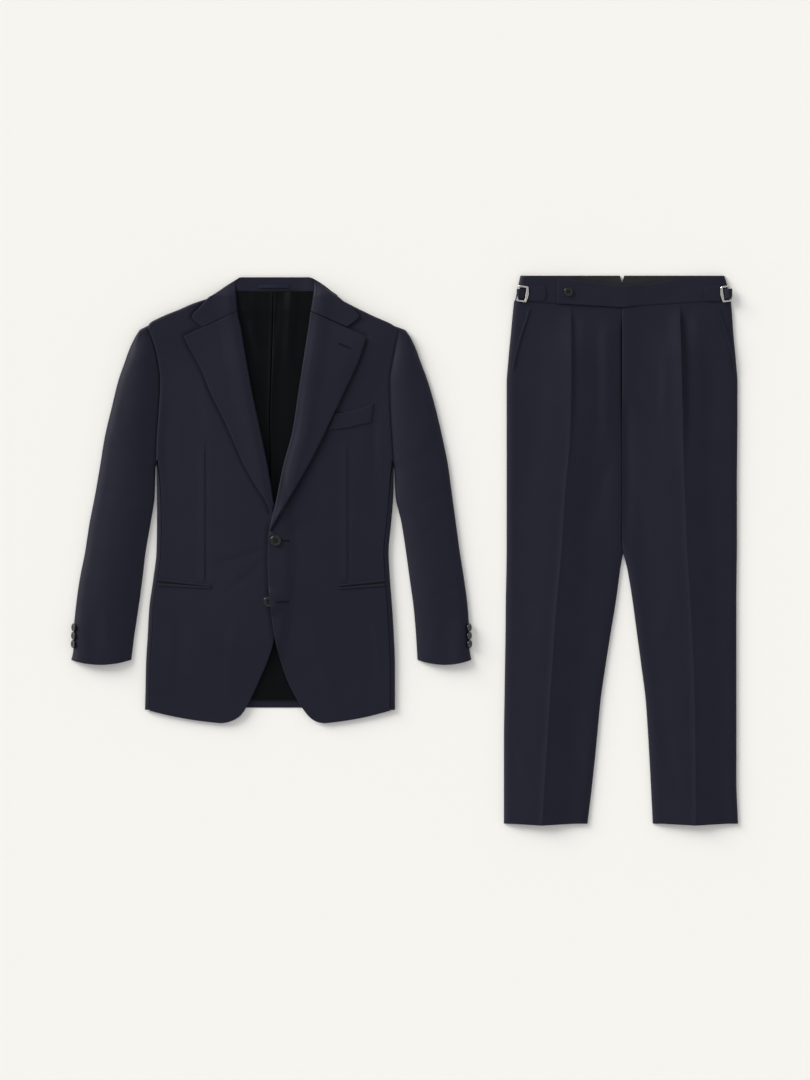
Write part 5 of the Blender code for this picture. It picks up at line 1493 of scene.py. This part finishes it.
def drill(made, diameter):
    """Four thread holes in a square, cut through and applied."""
    for k in range(4):
        x = HOLE_OFF * diameter * (1 if k in (0, 3) else -1)
        y = HOLE_OFF * diameter * (1 if k < 2 else -1)
        bpy.ops.mesh.primitive_cylinder_add(vertices=16, radius=HOLE_RADIUS * diameter * MM, depth=12 * MM,
                                            location=(x * MM, y * MM, 0))
        cutter = bpy.context.object
        cut = made.modifiers.new("hole", "BOOLEAN")
        cut.object, cut.operation, cut.solver = cutter, "DIFFERENCE", "EXACT"
        shape = bpy.data.meshes.new_from_object(made.evaluated_get(bpy.context.evaluated_depsgraph_get()))
        made.modifiers.clear()
        made.data = shape
        bpy.data.objects.remove(cutter, do_unlink=True)


print("a jacket button's profile has", len(button_profile(JACKET_BUTTON)), "points")


# %% Thread
def thread_mesh(name, spans, radius, bow, steps=8, around=6):
    """Threads as thin bowed tubes between pairs of points."""
    points, faces = [], []
    for start, end in spans:
        start, end = Vector(start), Vector(end)
        along = (end - start).normalized()
        side = along.cross(Vector((0, 0, 1))).normalized()
        base = len(points)
        for i in range(steps + 1):
            t = i / steps
            middle = start.lerp(end, t) + Vector((0, 0, bow * 4 * t * (1 - t)))
            up = side.cross(along)
            for k in range(around):
                angle = 2 * pi * k / around
                points.append((middle + side * radius * cos(angle) + up * radius * sin(angle)) * MM)
        for i in range(steps):
            for k in range(around):
                n = (k + 1) % around
                faces.append((base + i * around + k, base + i * around + n, base + (i + 1) * around + n,
                              base + (i + 1) * around + k))
        faces.append(tuple(base + k for k in reversed(range(around))))
        faces.append(tuple(base + steps * around + k for k in range(around)))
    mesh = bpy.data.meshes.new(name)
    mesh.from_pydata([tuple(p) for p in points], [], faces)
    return to_scene(name, mesh, THREAD)


print("thread is", THREAD.name)

# %% Buttons
BUTTON_GAP = 0.4
WAIST_BUTTON_X, WAIST_BUTTON_DROP = -98.0, 32.0
CUFF_BUTTON_DROPS, CUFF_BUTTON_HEIGHT, CUFF_LEAN = (642.0, 657.0, 672.0), 6.8, radians(60)


def place_button(name, node_name, centre_x, x, drop, z, diameter, turn=None):
    """A button and the two pairs of threads that cross it from hole to hole."""
    made = spun(name, button_profile(diameter), 56, HORN)
    drill(made, diameter)
    made.data.shade_smooth()
    made.data.set_sharp_from_angle(angle=radians(40))
    set_down(made, centre_x, x, drop, z, [node_name], turn)
    half, top = HOLE_OFF * diameter, BUTTON_THICK * diameter * DISH_FLOOR - 0.25
    spans = [((-half, y + off, top), (half, y + off, top)) for y in (half, -half)
             for off in (-0.016 * diameter, 0.016 * diameter)]
    thread = thread_mesh(name + "_thread", spans, 0.017 * diameter, 0.45)
    return set_down(thread, centre_x, x, drop, z, (), turn)


for name, side, place in (("upper", "left", UPPER_BUTTON), ("lower", "right", LOWER_BUTTON)):
    place_button(name + "_button_horn", name + "_front_button", JACKET_X, *place,
                 height_at(front_height(side), *place) + BUTTON_GAP, JACKET_BUTTON)
place_button("waist_button_horn", "waist_button", TROUSERS_X, WAIST_BUTTON_X, WAIST_BUTTON_DROP,
             BAND_HEIGHT + BAND_CLOTH + 0.5, WAIST_BUTTON)
for side in SIDES:
    lean = Matrix.Rotation(sign_of(side) * CUFF_LEAN, 4, "Y")
    for k, drop in enumerate(CUFF_BUTTON_DROPS, 1):
        edge = float(sleeve_edges(side, drop)[0])
        place_button(f"{side}_cuff_horn_{k}", f"{side}_cuff_button_{k}", JACKET_X,
                     edge - sign_of(side) * 0.4, drop, CUFF_BUTTON_HEIGHT, CUFF_BUTTON, lean)

# %% [markdown]
# ## Buttonholes and pick stitching
# A buttonhole is a slit bound by hundreds of purl stitches, so it is modelled as a thin cord that swells
# at every stitch. The edges of the lapels and fronts are pick stitched by hand: short threads that sink
# into the cloth about 3 mm from the edge, 6 mm apart.

# %% Buttonholes
PURL_MM, PURL_STEPS = 0.9, 4
CORD_RADIUS, CORD_SWELL, CORD_LIFT = 0.42, 0.12, 0.4


def buttonhole(name, start, end, height, width=1.5, around=8):
    """A stitched cord round a slit, from start to end in garment millimetres."""
    start, end = np.array(start, float), np.array(end, float)
    length = float(np.hypot(*(end - start)))
    along = (end - start) / length
    across = np.array([-along[1], along[0]])
    count = int(2 * length / PURL_MM) * PURL_STEPS
    round_it, half = 2 * length + pi * width, width / 2
    centres = []
    for k in range(count):
        s = k / count * round_it
        if s < length:
            p = start + along * s + across * half
        elif s < length + pi * half:
            a = (s - length) / half
            p = end + across * half * cos(a) + along * half * sin(a)
        elif s < 2 * length + pi * half:
            p = end - along * (s - length - pi * half) - across * half
        else:
            a = (s - 2 * length - pi * half) / half
            p = start - across * half * cos(a) - along * half * sin(a)
        centres.append(p)
    centres = np.array(centres)
    heading = np.roll(centres, -1, axis=0) - np.roll(centres, 1, axis=0)
    heading /= np.linalg.norm(heading, axis=1, keepdims=True)
    aside = np.column_stack([-heading[:, 1], heading[:, 0]])
    radius = CORD_RADIUS + CORD_SWELL * np.cos(2 * pi * np.arange(count) / PURL_STEPS)
    ring = []
    for j in range(around):
        angle = 2 * pi * j / around
        spot = centres + aside * radius[:, None] * cos(angle)
        z = height(spot[:, 0], spot[:, 1]) + CORD_LIFT + radius * sin(angle)
        ring.append(to_world(JACKET_X, spot[:, 0], spot[:, 1], z))
    points = np.stack(ring, axis=1).reshape(-1, 3)
    mesh = bpy.data.meshes.new(name)
    mesh.from_pydata(points.tolist(), [], tube_faces(count, around))
    return finish_piece(to_scene(name, mesh, THREAD))


buttonhole("lapel_buttonhole", (124, 126), (145, 135), lapel_height("left"))
buttonhole("upper_buttonhole", (20, 484), (33, 484), front_height("left"))
buttonhole("lower_buttonhole", (9, 596), (33, 594.5), front_height("left"))
print("buttonholes bound")

# %% Pick stitches
LAPEL_INSET, FRONT_INSET = 3.2, -3.6


def edge_stitches(name, line, height, inset, spacing=6.0, length=1.6):
    """Short threads that follow a line of garment points, moved in from it."""
    line = np.array(line, float)
    step = np.hypot(*np.diff(line, axis=0).T)
    places = np.arange(spacing, step.sum() - spacing, spacing)
    run = np.concatenate([[0], np.cumsum(step)])
    x, drop = np.interp(places, run, line[:, 0]), np.interp(places, run, line[:, 1])
    x2, drop2 = np.interp(places + length, run, line[:, 0]), np.interp(places + length, run, line[:, 1])
    head = np.column_stack([x2 - x, drop2 - drop]) / length
    shift = np.column_stack([-head[:, 1], head[:, 0]]) * inset
    x, x2, drop, drop2 = x + shift[:, 0], x2 + shift[:, 0], drop + shift[:, 1], drop2 + shift[:, 1]
    z, z2 = height(x, drop), height(x2, drop2)
    spans = [((JACKET_X + a, TOP_Y - b, c - 0.1), (JACKET_X + d, TOP_Y - e, f - 0.1))
             for a, b, c, d, e, f in zip(x, drop, z, x2, drop2, z2)]
    return finish_piece(thread_mesh(name, spans, 0.16, 0.12))


for side in SIDES:
    roll_drops = np.linspace(LAPEL_ROWS[0][0], LAPEL_ROWS[-1][0], 60)
    edge = np.column_stack(read_table(side_rows(LAPEL_ROWS, side), roll_drops))
    edge_stitches(side + "_lapel_stitches", edge, lapel_height(side), sign_of(side) * LAPEL_INSET)
    drops = np.linspace(480, 790, 60)
    front = np.column_stack([centre_edge(side, drops), drops])
    edge_stitches(side + "_front_stitches", front, front_height(side), sign_of(side) * FRONT_INSET)
print("edges pick stitched")

# %% [markdown]
# ## Floor, light and camera
# The floor is a pale sheet of paper. The light is one broad soft source, low and up to the left. The
# room fills in from all round, more from the horizon than from overhead, so shadows fall short and soft
# to the right and below. The camera looks straight down from far away with a long lens, which keeps the
# outlines true.

# %% Floor
PAPER_TOOTH = 900.0
bpy.ops.mesh.primitive_plane_add(size=14.0, location=(0, 0, 0))
floor = bpy.context.object
floor.name = "floor"
paper, paper_tree, paper_shader = new_material("paper_warm_white", Roughness=0.95)
place = node(paper_tree, "ShaderNodeTexCoord").outputs["Object"]
tooth = node(paper_tree, "ShaderNodeTexNoise", {"Scale": PAPER_TOOTH, "Detail": 2.0}, {"Vector": place})
shades = {"data_type": "RGBA", 6: to_linear("#f5f4ef"), 7: to_linear("#f8f7f3")}
tone = node(paper_tree, "ShaderNodeMix", shades, {0: tooth.outputs["Fac"]})
paper_tree.links.new(tone.outputs[2], paper_shader.inputs["Base Color"])
floor.data.materials.append(paper)
print("floor laid")

# %% Light
KEY_FROM = Vector((-0.76, 0.56, 0.33))
KEY_STRENGTH, KEY_SPREAD = 3.5, radians(30)
HORIZON, ZENITH = 1.24, 0.34

light = bpy.data.lights.new("softbox", "SUN")
light.energy, light.angle, light.color = KEY_STRENGTH, KEY_SPREAD, to_linear("#fffdf8")[:3]
softbox = bpy.data.objects.new("softbox", light)
softbox.location = 6.0 * KEY_FROM
softbox.rotation_euler = (-KEY_FROM).to_track_quat("-Z", "Y").to_euler()
bpy.context.scene.collection.objects.link(softbox)
world = bpy.data.worlds.new("studio")
world.use_nodes = True
sky = world.node_tree.nodes["Background"]
sky.inputs["Color"].default_value = to_linear("#fdfdff")
direction = node(world.node_tree, "ShaderNodeTexCoord").outputs["Generated"]
upward = node(world.node_tree, "ShaderNodeSeparateXYZ", {}, {0: direction}).outputs["Z"]
fill = node(world.node_tree, "ShaderNodeMapRange", {1: 0.0, 2: 1.0, 3: HORIZON, 4: ZENITH}, {0: upward})
world.node_tree.links.new(fill.outputs[0], sky.inputs["Strength"])
bpy.context.scene.world = world
bpy.context.scene.view_settings.view_transform = "Standard"
print("lights set")

# %% Camera
VIEW_TALL_MM = 1966.0
AIM = (0.001, 0.019)
LENS_MM, SENSOR_MM = 110.0, 36.0
camera_data = bpy.data.cameras.new("camera")
camera_data.lens, camera_data.sensor_width = LENS_MM, SENSOR_MM
camera = bpy.data.objects.new("camera", camera_data)
camera.location = (*AIM, VIEW_TALL_MM * MM * LENS_MM / SENSOR_MM)
bpy.context.scene.collection.objects.link(camera)
bpy.context.scene.camera = camera
print("camera height", round(camera.location.z, 3), "m")

# %% Measures of the cloth and of the whole
for name, across, down, area in sizes:
    print(f"{name}: {across * 1000:.0f} x {down * 1000:.0f} mm, {area:.4f} square metres")
